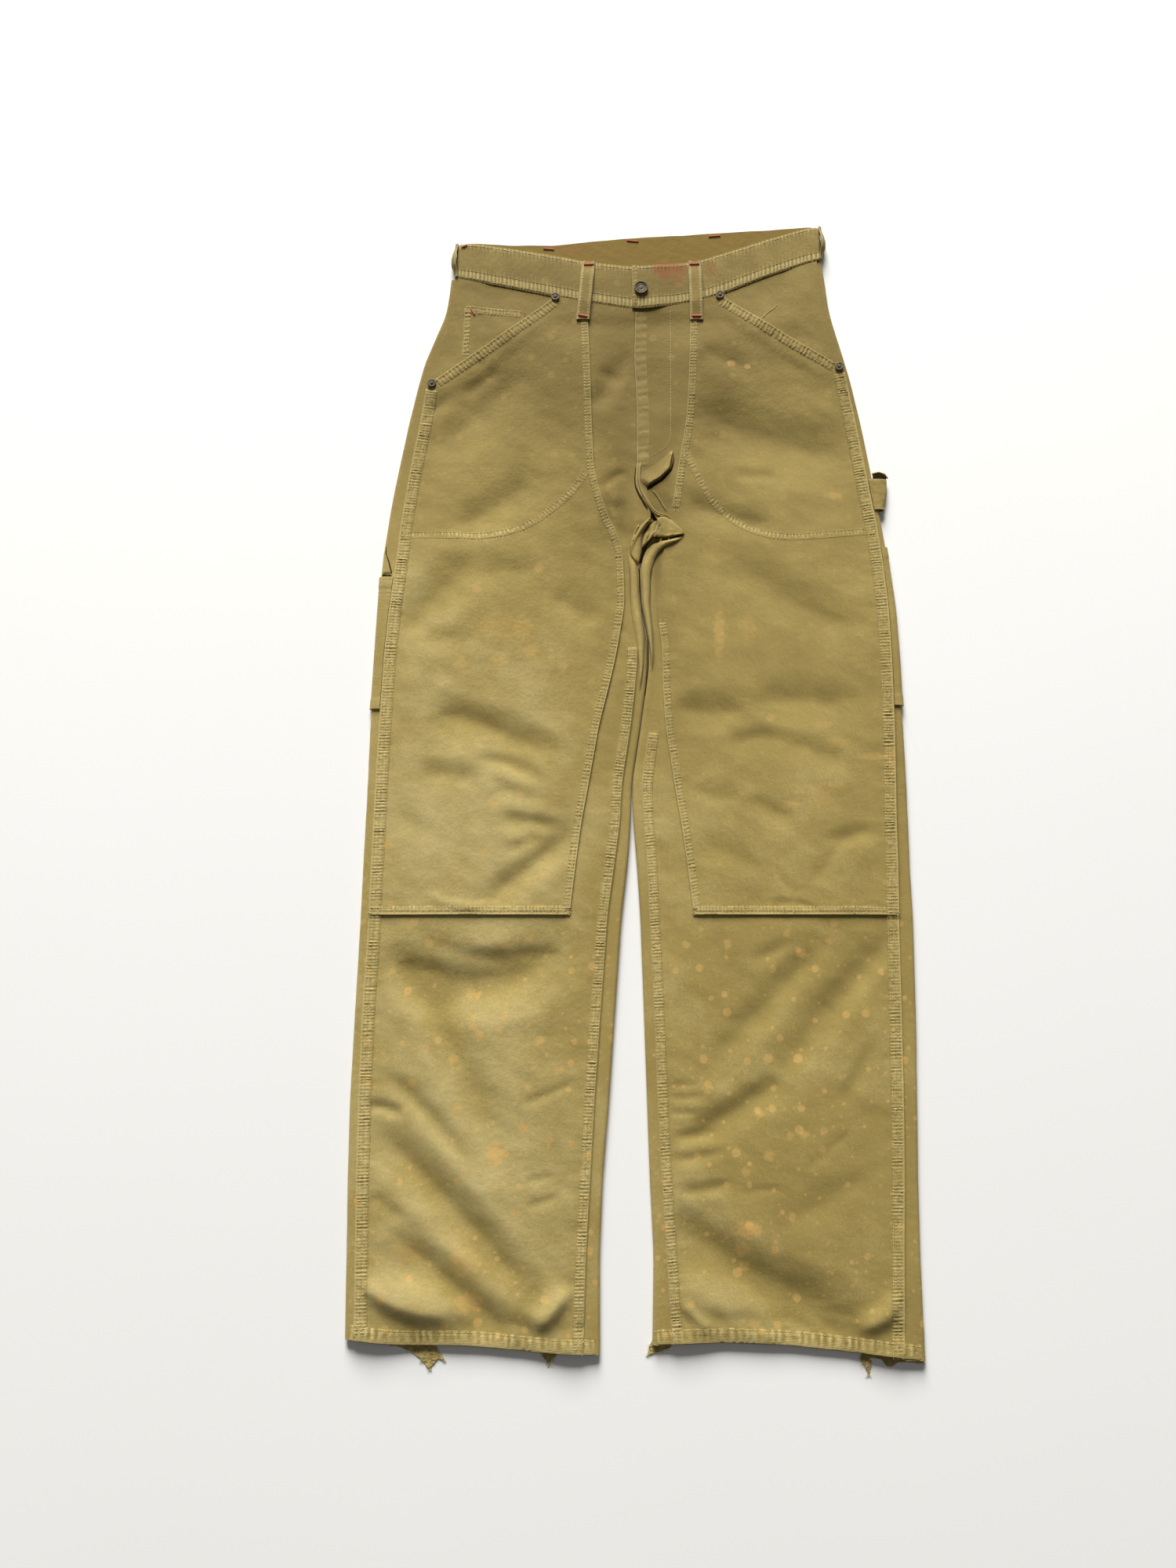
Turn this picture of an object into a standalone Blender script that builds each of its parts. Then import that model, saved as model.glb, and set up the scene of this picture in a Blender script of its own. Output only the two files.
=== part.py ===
"""Carpenter pants laid flat with the front up, made as separate cut and sewn pieces.

Metres, +Z up. X runs across the garment and Y from the hems to the waist. The underside rests at
z = 0. _R and _L are the wearer's right and left, and the wearer's left lies towards +X.
Every size below is in millimetres.
"""
import math
from collections import namedtuple

import bmesh
import bpy
from mathutils import Vector
from mathutils.bvhtree import BVHTree

MM = 0.001
CENTRE = Vector((1.5, -1.7, 0.0))   # middle of the outline, which is moved to the origin

# Cloth, seams and folded edges
CLOTH = 1.2                 # thickness of one layer of cloth
GAP = 0.3                   # air between pieces that touch
LAYER = CLOTH + GAP         # what one more layer adds
FELL_WIDTH = 13.0           # width of a felled seam, beside the seam line
FELL_RISE = 0.8             # extra height of a felled seam
BAND_RISE = 0.5             # extra height of a turned and stitched edge
HEM_RISE = 1.0              # extra height of the turned hem
ROLL = 2.5                  # middle radius of the leg's folded edges
ROLL_STEPS = 5
ROLL_TOP = 2 * ROLL + CLOTH     # height of the cloth that has turned over an edge
LAP = 2.0                   # how far the back panel runs under the front at a seam
SINK = 3.2                  # height of the front's inner face in the middle of a leg
SEAM_HEIGHT = ROLL_TOP + GAP    # height of the front's inner face at a seam
FLY_HEIGHT = 4.6            # the same at the centre front, above the crotch
SHOULDER = 40.0             # distance over which the front sinks from a seam
SWELL = 5.2                 # how far the cloth between the seams stands up above SINK
SWELL_MARGIN = 60.0         # distance from the seams over which it does so
LOWEST = LAYER + 0.4        # how low a trough may take the front's inner face
FOLD_MARGIN = 26.0          # folds fade out within this distance of a seam

# Rows of points, from the hems to the waist
HEM = -535.0
KNEE = -151.0               # lower edge of the double front
CROTCH = 225.0
SLASH_ROW = 372.0           # row on which the pocket's slash meets the outseam
WAIST = 478.0
ROW_SPANS = ((HEM, KNEE, 15), (KNEE, CROTCH, 15), (CROTCH, SLASH_ROW, 6), (SLASH_ROW, WAIST, 5))
BACK_SPANS = ((HEM, KNEE, 8), (KNEE, CROTCH, 10), (CROTCH, 285.0, 3), (285.0, WAIST, 5))

# Columns of points on a front panel, from the outseam to the inseam
BODY_COLUMNS = 8            # spaces between the felled outseam and the double front's inner edge
OVERLAY_LAST = 1 + BODY_COLUMNS
FLOOR_COLUMNS = 6           # spaces across a back panel, between its folded edges

# Outline of each leg: the folded outer edge, the outseam, the inner edge of the double front,
# the inseam (the centre front above the crotch) and the folded inner edge (the centre back)
Section = namedtuple("Section", "y edge seam overlay inseam inner")
RIGHT_LEG = (
    Section(520, -179, -173, -42, 9, 10),
    Section(460, -185, -177, -42, 6, 12),
    Section(407, -206, -194, -40, 4.5, 13.8),
    Section(382, -212, -203, -39, 6, 14.6),
    Section(340, -221, -209, -38, 7, 16),
    Section(290, -230, -218, -36, 6, 18),
    Section(262, -235, -222, -29, 10, 20),
    Section(240, -238, -225, -22, 26, 21),
    Section(225, -240, -227, -14, 9, 20),
    Section(210, -242, -228, -9, 1, 15),
    Section(192, -244, -230, -7, -1, 9),
    Section(150, -246, -235, -6, 0, 10),
    Section(102, -248, -239, -14, 7, 16),
    Section(75, -249, -240, -20, 5, 15),
    Section(31, -251, -242, -31, 0, 9),
    Section(-26, -252, -244, -41, -9, 0),
    Section(-64, -253, -245, -48, -11, -1),
    Section(-101, -254, -246, -53, -16, -4),
    Section(-151, -255, -247, -59, -23, -10),
    Section(-247, -258, -251, -61, -30, -17),
    Section(-317, -260, -252, -63, -35, -22),
    Section(-387, -260, -252, -66, -39, -28),
    Section(-455, -259, -251, -70, -43, -31),
    Section(-545, -258, -250, -74, -46, -31),
)
LEFT_LEG = (
    Section(520, 197, 191, 64, 9, 10),
    Section(460, 203, 197, 62, 6, 12),
    Section(407, 217, 212, 60, 4.5, 13.8),
    Section(382, 223, 218, 59, 6, 14.6),
    Section(340, 231, 225, 56, 7, 16),
    Section(290, 239, 233, 47, 6, 18),
    Section(262, 243, 237, 43, 10, 20),
    Section(240, 247, 241, 40, 26, 21),
    Section(225, 249, 243, 40, 33, 20),
    Section(210, 251, 245, 34, 26, 15),
    Section(192, 253, 247, 27, 21, 9),
    Section(150, 257.5, 250.5, 25, 19, 10),
    Section(102, 259.5, 252, 30, 24, 16),
    Section(75, 260, 252, 30, 23, 15),
    Section(31, 261, 252, 32, 17, 9),
    Section(-26, 262, 251, 40, 9, 0),
    Section(-64, 262, 250, 46, 10, 1),
    Section(-101, 262, 250, 51, 13, 4),
    Section(-151, 263, 249, 57, 15, 7),
    Section(-247, 262, 248, 56, 19, 10),
    Section(-317, 260, 247, 55, 21, 12),
    Section(-387, 258, 245, 56, 24, 14),
    Section(-455, 257, 242, 58, 28, 17),
    Section(-545, 258, 239, 62, 33, 15),
)

# Lower and upper edge of the waistband in front and behind, and the line of the hems, across x
Waist = namedtuple("Waist", "x front_low front_top back_low back_top")
WAIST_LINE = (
    Waist(-190, 499, 530, 499, 530),
    Waist(-162, 494, 536, 494, 538),
    Waist(-122, 486, 530, 489, 535),
    Waist(-75, 476, 522, 493, 535),
    Waist(-42, 470, 515, 497, 539),
    Waist(12, 461, 509, 501, 544),
    Waist(67, 471, 515, 504, 547),
    Waist(92, 478, 523, 507, 549),
    Waist(142, 499, 540, 512, 552),
    Waist(188, 515, 554, 515, 556),
    Waist(210, 519, 550, 519, 550),
)
Hem = namedtuple("Hem", "x y")
HEM_LINE = (
    Hem(-262, -527),
    Hem(-216, -532),
    Hem(-146, -533),
    Hem(-77, -539),
    Hem(-31, -541),
    Hem(12, -532),
    Hem(77, -530),
    Hem(132, -532),
    Hem(202, -539),
    Hem(262, -546),
)

# Largest folds of the fronts: start, bend and end of each fold's line, half its width and its
# height, which is negative where the fold is a trough
Fold = namedtuple("Fold", "x0 y0 x1 y1 x2 y2 width height")
FOLDS = (
    Fold(-230, -186, -142, -258, -44, -180, 22, -6.0),
    Fold(-224, -176, -158, -272, -110, -402, 20, -3.6),
    Fold(-246, -330, -162, -398, -70, -506, 18, -4.6),
    Fold(-208, -436, -140, -478, -94, -524, 18, -4.4),
    Fold(-200, 46, -140, 36, -58, -6, 19, -4.6),
    Fold(-224, 108, -196, 160, -138, 210, 19, -2.8),
    Fold(-204, 296, -150, 350, -98, 400, 20, -2.8),
    Fold(-188, 226, -130, 240, -88, 292, 18, -2.6),
    Fold(-142, -142, -104, -112, -47, -64, 16, -3.6),
    Fold(50, 354, 140, 318, 234, 298, 27, -5.2),
    Fold(74, 224, 140, 150, 230, 120, 20, -3.8),
    Fold(38, 55, 76, 33, 120, 52, 17, -4.0),
    Fold(106, 51, 150, 61, 226, 46, 18, -3.8),
    Fold(128, -306, 168, -250, 228, -160, 18, -4.0),
    Fold(58, -302, 128, -226, 198, -158, 16, -3.3),
    Fold(40, -356, 92, -331, 144, -296, 16, -3.6),
    Fold(28, -423, 96, -486, 220, -513, 24, -6.2),
    Fold(7, 305, 2, 252, 62, 222, 18, 5),
)

# Pocket slashes: their ends at the outseam and at the waistband
Slash = namedtuple("Slash", "low_x low_y top_x top_y")
SLASHES = {"R": Slash(-198, 382, -75, 476), "L": Slash(210, 400, 92, 478)}
SLASH_BOW = 3.0             # how far a slash's edge bows down between its ends
FACING_COLUMNS = 4

# Waistband
BAND_THICKNESS = 2.5
BAND_FRONT = 6.05           # height of the front band's middle
BAND_SIDE = 6.85            # the same at the folded sides
BAND_BACK = LAYER + BAND_THICKNESS / 2
BAND_CLEAR = BAND_BACK + BAND_THICKNESS / 2 + 2 * GAP    # height of the fronts at the waistband
BAND_SIDE_REACH = 60.0      # distance over which the band climbs to its sides
BAND_ENDS = (-180.0, 198.0)     # outermost points of the band's folds
BAND_LAP = (3.0, 19.0)      # the lap at the centre front: end of the upper end, end of the lower
BAND_RAMP = 26.0            # length over which the upper end climbs onto the lower
BAND_STEP = 15.0
BAND_BUTT = 0.8             # gap along y where the band meets a front panel's edge

# Metal
RIVET_RADIUS = 4.4
BUTTON_RADIUS = 7.0
TURN_STEPS = 18

CLOTH_COLOUR = (0.330, 0.262, 0.090)
LINING_COLOUR = (0.245, 0.170, 0.060)
WORN_COLOUR = (0.430, 0.350, 0.140)
METAL_COLOUR = (0.120, 0.095, 0.060)


def clear_scene():
    """Remove whatever the scene holds."""
    for item in list(bpy.data.objects):
        bpy.data.objects.remove(item, do_unlink=True)


def make_material(name, colour, roughness, metallic=0.0):
    """Make a Principled material."""
    material = bpy.data.materials.new(name)
    material.use_nodes = True
    shader = material.node_tree.nodes["Principled BSDF"]
    shader.inputs["Base Color"].default_value = (*colour, 1.0)
    shader.inputs["Roughness"].default_value = roughness
    shader.inputs["Metallic"].default_value = metallic
    return material


def mix(a, b, share):
    """Blend two numbers."""
    return a + (b - a) * share


def smooth(value):
    """Ease a share from 0 to 1, held at both ends."""
    share = min(max(value, 0.0), 1.0)
    return share * share * (3.0 - 2.0 * share)


def spans(table):
    """Positions of the rows of points, from the lowest to the highest."""
    stations = [table[0][0]]
    for low, high, steps in table:
        stations += [mix(low, high, (step + 1) / steps) for step in range(steps)]
    return stations


def straight(table, key, value, column):
    """Read a column of a table at a key, with straight lines between the rows."""
    rows = sorted(table, key=lambda row: getattr(row, key))
    for low, high in zip(rows, rows[1:]):
        first, last = getattr(low, key), getattr(high, key)
        if value <= last or high is rows[-1]:
            share = min(max((value - first) / (last - first), 0.0), 1.0)
            return mix(getattr(low, column), getattr(high, column), share)
    return getattr(rows[-1], column)


def curved(table, key, value, column):
    """Read a column of a table at a key, on a smooth curve through the rows."""
    rows = sorted(table, key=lambda row: getattr(row, key))
    places = [getattr(row, key) for row in rows]
    values = [getattr(row, column) for row in rows]
    index = max(i for i in range(len(rows) - 1) if i == 0 or places[i] <= value)
    span = places[index + 1] - places[index]
    share = min(max((value - places[index]) / span, 0.0), 1.0)

    def slope(i):
        low, high = max(i - 1, 0), min(i + 1, len(rows) - 1)
        return (values[high] - values[low]) / (places[high] - places[low]) * span

    a, b, c, d = values[index], values[index + 1], slope(index), slope(index + 1)
    square, cube = share * share, share ** 3
    return (a * (2 * cube - 3 * square + 1) + c * (cube - 2 * square + share)
            + b * (3 * square - 2 * cube) + d * (cube - square))


class Leg:
    """Outline and surface of one leg, with the half of the seat above it."""

    def __init__(self, name, sections, towards_outside):
        self.name = name
        self.sections = sections
        self.side = towards_outside
        self.slash = SLASHES[name]

    def x(self, y, column):
        """Place of one of the leg's lines at y."""
        return straight(self.sections, "y", y, column)

    def row_y(self, station, x, waist="front_low"):
        """Height up the garment of a row at x: level on the thigh, following the waist and hem."""
        rise = smooth((station - CROTCH) / (WAIST - CROTCH))
        drop = smooth((KNEE - station) / (KNEE - HEM))
        return (station + rise * (curved(WAIST_LINE, "x", x, waist) - WAIST)
                + drop * (curved(HEM_LINE, "x", x, "y") - HEM))

    def slash_point(self, station):
        """Point of the slash's edge on a row."""
        share = (station - SLASH_ROW) / (WAIST - SLASH_ROW)
        bow = SLASH_BOW * math.sin(math.pi * share)
        return (mix(self.slash.low_x, self.slash.top_x, share),
                mix(self.slash.low_y, self.slash.top_y, share) - bow)

    def inner_face(self, x, y):
        """Height of the front's inner face, with its folds."""
        from_seam = abs(x - self.x(y, "seam"))
        from_inseam = abs(x - self.x(y, "inseam"))
        inner_rise = mix(SEAM_HEIGHT, FLY_HEIGHT, smooth((y - 290.0) / 60.0)) - SINK
        height = SINK + max((SEAM_HEIGHT - SINK) * (1 - smooth((from_seam - FELL_WIDTH) / SHOULDER)),
                            inner_rise * (1 - smooth((from_inseam - FELL_WIDTH) / SHOULDER)))
        from_waist = curved(WAIST_LINE, "x", x, "front_low") - y
        height = max(height, mix(BAND_CLEAR, SINK, smooth(from_waist / SHOULDER)))
        keep = smooth(from_seam / FOLD_MARGIN)
        if y < CROTCH:
            keep *= smooth(from_inseam / FOLD_MARGIN)
        keep *= smooth((WAIST - 25.0 - y) / FOLD_MARGIN) * smooth((y - HEM + 12.0) / FOLD_MARGIN)
        swell = SWELL * smooth(from_seam / SWELL_MARGIN) * smooth(from_inseam / SWELL_MARGIN)
        swell *= smooth(from_waist / SWELL_MARGIN) * smooth((y - HEM + 12.0) / SWELL_MARGIN)
        return max(height + swell + keep * folds_at(x, y), LOWEST)


def folds_at(x, y):
    """Height that the folds add at a point."""
    total = 0.0
    point = Vector((x, y))
    for fold in FOLDS:
        start, bend, end = Vector((fold.x0, fold.y0)), Vector((fold.x1, fold.y1)), Vector((fold.x2, fold.y2))
        nearest, share = min(((point - start.lerp(bend, t).lerp(bend.lerp(end, t), t)).length, t)
                             for t in (step / 24 for step in range(25)))
        reach = nearest / fold.width
        if reach < 3.0:
            fade = smooth(share * 5.0 + 0.25) * smooth((1.0 - share) * 5.0 + 0.25)
            total += fold.height * fade * math.exp(-reach * reach)
    return total


RIGHT = Leg("R", RIGHT_LEG, -1)
LEFT = Leg("L", LEFT_LEG, 1)


def finish_mesh(name, mesh, material, sharp=50.0):
    """Turn a bmesh into an object, with its faces outwards and its round parts smooth."""
    bmesh.ops.recalc_face_normals(mesh, faces=mesh.faces)
    if mesh.calc_volume(signed=True) < 0.0:
        bmesh.ops.reverse_faces(mesh, faces=mesh.faces)
    data = bpy.data.meshes.new(name)
    mesh.to_mesh(data)
    mesh.free()
    data.shade_smooth()
    data.set_sharp_from_angle(angle=math.radians(sharp))
    item = bpy.data.objects.new(name, data)
    item.data.materials.append(material)
    bpy.context.scene.collection.objects.link(item)
    return item


def cloth_wall(name, inner, outer, material):
    """Make one closed wall between two grids of points in millimetres, given row by row."""
    rows, columns = len(inner), len(inner[0])
    mesh = bmesh.new()
    bmesh.ops.create_grid(mesh, x_segments=columns - 1, y_segments=rows - 1, size=1.0)
    mesh.verts.ensure_lookup_table()
    place = mesh.verts.layers.int.new("place")
    for index, vert in enumerate(mesh.verts):
        vert[place] = index
    bmesh.ops.triangulate(mesh, faces=mesh.faces[:], quad_method="FIXED")
    below = set(mesh.verts)
    bmesh.ops.extrude_face_region(mesh, geom=mesh.faces[:])
    for vert in mesh.verts:
        row, column = divmod(vert[place], columns)
        grid = inner if vert in below else outer
        vert.co = (Vector(grid[row][column]) - CENTRE) * MM
    return finish_mesh(name, mesh, material)


def turned(name, profile, centre, material):
    """Turn a profile of (radius, height) points, from axis to axis, about a vertical line."""
    mesh = bmesh.new()
    verts = [mesh.verts.new((radius * MM, 0.0, height * MM)) for radius, height in profile]
    edges = [mesh.edges.new(pair) for pair in zip(verts, verts[1:])]
    bmesh.ops.spin(mesh, geom=verts + edges, cent=(0, 0, 0), axis=(0, 0, 1), angle=2 * math.pi,
                   steps=TURN_STEPS, use_merge=True)
    bmesh.ops.remove_doubles(mesh, verts=mesh.verts, dist=0.00001)
    bmesh.ops.translate(mesh, verts=mesh.verts, vec=(Vector(centre) - CENTRE) * MM)
    return finish_mesh(name, mesh, material, 30.0)


def top_of(items, x, y):
    """Height of the highest of some objects at a point, in millimetres."""
    above = (Vector((x, y, 100.0)) - CENTRE) * MM
    heights = [0.0]
    for item in items:
        tree = BVHTree.FromPolygons([v.co for v in item.data.vertices],
                                    [p.vertices for p in item.data.polygons])
        hit = tree.ray_cast(above, Vector((0, 0, -1)))[0]
        if hit is not None:
            heights.append(hit.z / MM)
    return max(heights)


def seat_over(items, x, y, reach):
    """Height just clear of everything under a round footprint."""
    ring = [(x + reach * part * math.cos(turn * math.pi / 6), y + reach * part * math.sin(turn * math.pi / 6))
            for part in (0.5, 1.0) for turn in range(12)]
    return GAP + max(top_of(items, px, py) for px, py in ring + [(x, y)])


def front_points(leg, station):
    """Points (x, y) of one row of a front panel, from the outseam or slash to the inseam."""
    on_slash = station >= SLASH_ROW
    y_side = leg.row_y(station, leg.x(station, "seam"))
    start_x, start_y = leg.slash_point(station) if on_slash else (leg.x(y_side, "seam"), y_side)
    y_overlay = leg.row_y(station, leg.x(station, "overlay"))
    y_inseam = leg.row_y(station, leg.x(station, "inseam"))
    overlay, inseam = leg.x(y_overlay, "overlay"), leg.x(y_inseam, "inseam")
    inseam += leg.side * GAP / 2
    fell = min(FELL_WIDTH, abs(overlay - start_x) * 0.3)
    fell_end = start_x - leg.side * fell
    xs = [start_x] + [mix(fell_end, overlay, step / BODY_COLUMNS) for step in range(BODY_COLUMNS + 1)]
    inner_fell = inseam + leg.side * min(FELL_WIDTH, abs(overlay - inseam) * 0.4)
    xs += [mix(overlay, inner_fell, 0.5), inner_fell, inseam]
    points = [(x, leg.row_y(station, x)) for x in xs]
    if on_slash:
        across = [abs(x - start_x) / abs(overlay - start_x) for x in xs]
        shift = start_y - points[0][1]
        points = [(x, y + shift * (1 - smooth(part))) for (x, y), part in zip(points, across)]
    return points


def front_heights(leg, station, points):
    """Heights of the inner face of one row of a front panel, lifted where a facing lies under it."""
    heights = [leg.inner_face(x, y) for x, y in points]
    if station >= SLASH_ROW:
        heights[0] += LAYER
        heights[1] += LAYER
    return heights


def make_front_panel(leg, material):
    """Front panel: hem to waistband, outseam to inseam, with the pocket's slash cut away."""
    stations = spans(ROW_SPANS)
    inner, outer = [], []
    for row, station in enumerate(stations):
        points = front_points(leg, station)
        heights = front_heights(leg, station, points)
        rises = [0.0] * len(points)
        if station < KNEE:
            rises[0] = rises[1] = FELL_RISE
        rises[-1] = rises[-2] = FELL_RISE
        if row < 1:
            rises = [max(rise, HEM_RISE) for rise in rises]
        inner.append([(x, y, z) for (x, y), z in zip(points, heights)])
        outer.append([(x, y, z + CLOTH + rise) for (x, y), z, rise in zip(points, heights, rises)])
    return cloth_wall("front_panel_" + leg.name, inner, outer, material)


def make_double_front(leg, material):
    """Second layer on a front panel, from the waistband to the knee."""
    stations = [station for station in spans(ROW_SPANS) if station >= KNEE - 0.01]
    inner, outer = [], []
    for row, station in enumerate(stations):
        points = front_points(leg, station)[:OVERLAY_LAST + 1]
        heights = front_heights(leg, station, front_points(leg, station))
        rises = [FELL_RISE, FELL_RISE] + [0.0] * (len(points) - 3) + [BAND_RISE]
        if row == 0:
            rises = [max(rise, BAND_RISE) for rise in rises]
        inner.append([(x, y, z + LAYER) for (x, y), z in zip(points, heights)])
        outer.append([(x, y, z + LAYER + CLOTH + rise)
                      for (x, y), z, rise in zip(points, heights, rises)])
    return cloth_wall("double_front_" + leg.name, inner, outer, material)


def make_pocket_facing(leg, material):
    """Cloth seen in the pocket's mouth, between the slash, the outseam and the waistband."""
    stations = [station for station in spans(ROW_SPANS) if station >= SLASH_ROW]
    inner, outer = [], []
    for station in stations:
        slash, fell = front_points(leg, station)[:2]
        side_y = leg.row_y(station, leg.x(station, "seam"))
        seam = (leg.x(side_y, "seam"), side_y)
        shift = slash[1] - leg.row_y(station, slash[0])
        points = []
        for step in range(FACING_COLUMNS + 1):
            share = step / FACING_COLUMNS
            x = mix(seam[0], slash[0], share)
            points.append((x, leg.row_y(station, x) + shift * share))
        points.append(fell)
        heights = [leg.inner_face(x, y) for x, y in points]
        rises = [FELL_RISE] + [0.0] * (len(points) - 1)
        inner.append([(x, y, z) for (x, y), z in zip(points, heights)])
        outer.append([(x, y, z + CLOTH + rise) for (x, y), z, rise in zip(points, heights, rises)])
    return cloth_wall("pocket_facing_" + leg.name, inner, outer, material)


def rolled_edge(edge, end, side, turn, length):
    """Middle line of cloth that turns up from the floor, with its outward directions.

    turn is how far it turns in radians, and length how much cloth does; end is where the
    cloth's flat end lies after a full turn.
    """
    radius = length / turn if turn else 0.0
    reach = (radius + CLOTH / 2) * math.sin(min(turn, math.pi / 2)) if turn else length
    foot = edge - side * reach
    line = []
    for step in range(ROLL_STEPS + 1):
        angle = turn * step / ROLL_STEPS
        along = radius * math.sin(angle) if turn else length * step / ROLL_STEPS
        rise = radius * (1 - math.cos(angle)) if turn else 0.0
        line.append((foot + side * along, CLOTH / 2 + rise, side * math.sin(angle), -math.cos(angle)))
    if turn > 3.0:
        line.append((end, CLOTH / 2 + 2 * radius, 0.0, 1.0))
    else:
        line.append(line[-1])
        before = line[-3]
        line[-2] = tuple(mix(a, b, 0.5) for a, b in zip(before, line[-1]))
    return line


def make_back_panel(leg, material):
    """Back panel: lies on the floor, and turns over both edges of the leg to the front's seams."""
    full = math.pi * ROLL
    inner, outer = [], []
    for station in spans(BACK_SPANS):
        y_out = leg.row_y(station, leg.x(station, "edge"), "back_low")
        y_in = leg.row_y(station, leg.x(station, "inner"), "back_low")
        if station == WAIST:
            y_out -= 2.5 * BAND_BUTT
        lap = leg.side * LAP
        outside = rolled_edge(leg.x(y_out, "edge"), leg.x(y_out, "seam") - lap, leg.side, math.pi, full)
        opened = smooth((station - CROTCH) / 60.0)
        turn = math.pi if opened == 0.0 else math.pi * 0.5 * (1 - opened)
        length = full if opened == 0.0 else full * 0.75
        inside = rolled_edge(leg.x(y_in, "inner") + leg.side * GAP / 2, leg.x(y_in, "inseam") + lap,
                             -leg.side, turn if opened < 0.99 else 0.0, length)
        start, stop = outside[0], inside[0]
        floor = []
        for step in range(1, FLOOR_COLUMNS):
            share = step / FLOOR_COLUMNS
            floor.append((mix(start[0], stop[0], share), CLOTH / 2, 0.0, -1.0))
        line = outside[::-1] + floor + inside
        ys = [y_out] * len(outside)
        ys += [leg.row_y(station, x, "back_low") for x, _, _, _ in floor]
        ys += [y_in] * len(inside)
        half = CLOTH / 2
        outer.append([(x + nx * half, y, z + nz * half) for (x, z, nx, nz), y in zip(line, ys)])
        inner.append([(x - nx * half, y, z - nz * half) for (x, z, nx, nz), y in zip(line, ys)])
    return cloth_wall("back_panel_" + leg.name, inner, outer, material)


def band_path():
    """Stations round the waistband: x, height of its middle, outward direction, front share."""
    left_end, right_end = BAND_LAP
    low, high = BAND_ENDS
    radius = (BAND_SIDE - BAND_BACK) / 2
    reach = radius + BAND_THICKNESS / 2

    def front_height(x):
        side = max(smooth(1 - (x - low - reach) / BAND_SIDE_REACH),
                   smooth(1 - (high - reach - x) / BAND_SIDE_REACH))
        return mix(BAND_FRONT, BAND_SIDE, side)

    def run(first, last):
        steps = max(1, round(abs(last - first) / BAND_STEP))
        return [mix(first, last, step / steps) for step in range(steps + 1)]

    path = [(x, front_height(x), 0.0, 1.0, 1.0) for x in run(right_end, low + reach)]
    for step in range(1, 6):
        angle = math.pi * step / 6
        path.append((low + reach - radius * math.sin(angle), BAND_BACK + radius * (1 + math.cos(angle)),
                     -math.sin(angle), math.cos(angle), 1.0 - step / 6))
    path += [(x, BAND_BACK, 0.0, -1.0, 0.0) for x in run(low + reach, high - reach)]
    for step in range(1, 6):
        angle = math.pi * step / 6
        path.append((high - reach + radius * math.sin(angle), BAND_BACK + radius * (1 - math.cos(angle)),
                     math.sin(angle), -math.cos(angle), step / 6))
    for x in run(high - reach, left_end):
        climb = smooth((right_end + BAND_RAMP + 4.0 - x) / BAND_RAMP)
        path.append((x, front_height(x) + climb * (BAND_THICKNESS + GAP), 0.0, 1.0, 1.0))
    return path


def band_edges(x, share):
    """Lower and upper edge of the waistband at x: share is 1 in front and 0 behind.

    Behind, the band laps over the back panels, but not where they turn up at the sides.
    """
    from_fold = min(x - BAND_ENDS[0], BAND_ENDS[1] - x)
    lapped = smooth((from_fold - BAND_STEP / 2) / BAND_STEP) if share == 0.0 else 0.0
    butted = mix(curved(WAIST_LINE, "x", x, "back_low"), curved(WAIST_LINE, "x", x, "front_low"), share)
    low = mix(butted + BAND_BUTT, butted - LAP, lapped)
    top = mix(curved(WAIST_LINE, "x", x, "back_top"), curved(WAIST_LINE, "x", x, "front_top"), share)
    return low, top


def make_waistband(material):
    """Waistband: one strip right round, its wearer's left end lapped over the right."""
    half = BAND_THICKNESS / 2
    inner, outer = [], []
    for x, z, nx, nz, share in band_path():
        low, top = band_edges(x, share)
        edge_rise = (0.0, 0.25, 0.25, 0.0)
        across = [low, mix(low, top, 0.12), mix(low, top, 0.88), top]
        outer.append([(x + nx * (half - 0.25 + rise), y, z + nz * (half - 0.25 + rise))
                      for y, rise in zip(across, edge_rise)])
        inner.append([(x - nx * half, y, z - nz * half) for y in across])
    return cloth_wall("waistband", inner, outer, material)


def make_strap(name, rows, width, direction, material, thickness=CLOTH):
    """Make a strap from rows (x, y, z, nx, nz) of its inner face, widened along a direction."""
    half = Vector(direction).normalized() * width / 2
    inner = [[(x - half.x, y - half.y, z - half.z), (x + half.x, y + half.y, z + half.z)]
             for x, y, z, _, _ in rows]
    outer = [[(x + nx * thickness, y, z + nz * thickness) for x, y, z in pair]
             for pair, (_, _, _, nx, nz) in zip(inner, rows)]
    return cloth_wall(name, inner, outer, material)


def make_front_loop(leg, carriers, material):
    """Belt loop on the front of the waistband, sewn down at its head and foot."""
    head, foot, width, bow = (leg.side * 54 + 13, 515.0), (leg.side * 57.5 + 10.5, 450.0), 13.0, 1.4
    rows = []
    for y, share in ((foot[1], 0.0), (foot[1] + 7.0, 0.0), (foot[1] + 18.0, 1.0),
                     (mix(foot[1], head[1], 0.5), 1.6), (head[1] - 14.0, 1.0),
                     (head[1] - 6.0, 0.0), (head[1] - 0.5, 0.0)):
        x = mix(foot[0], head[0], (y - foot[1]) / (head[1] - foot[1]))
        seat = GAP + max(top_of(carriers, x + part * width / 2, y + shift)
                         for part in (-1.0, -0.5, 0.0, 0.5, 1.0) for shift in (-6.0, 0.0, 6.0))
        rows.append((x, y, seat + bow * share, 0.0, 1.0))
    return make_strap("belt_loop_front_" + leg.name, rows, width, (1, 0, 0), material)


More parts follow.
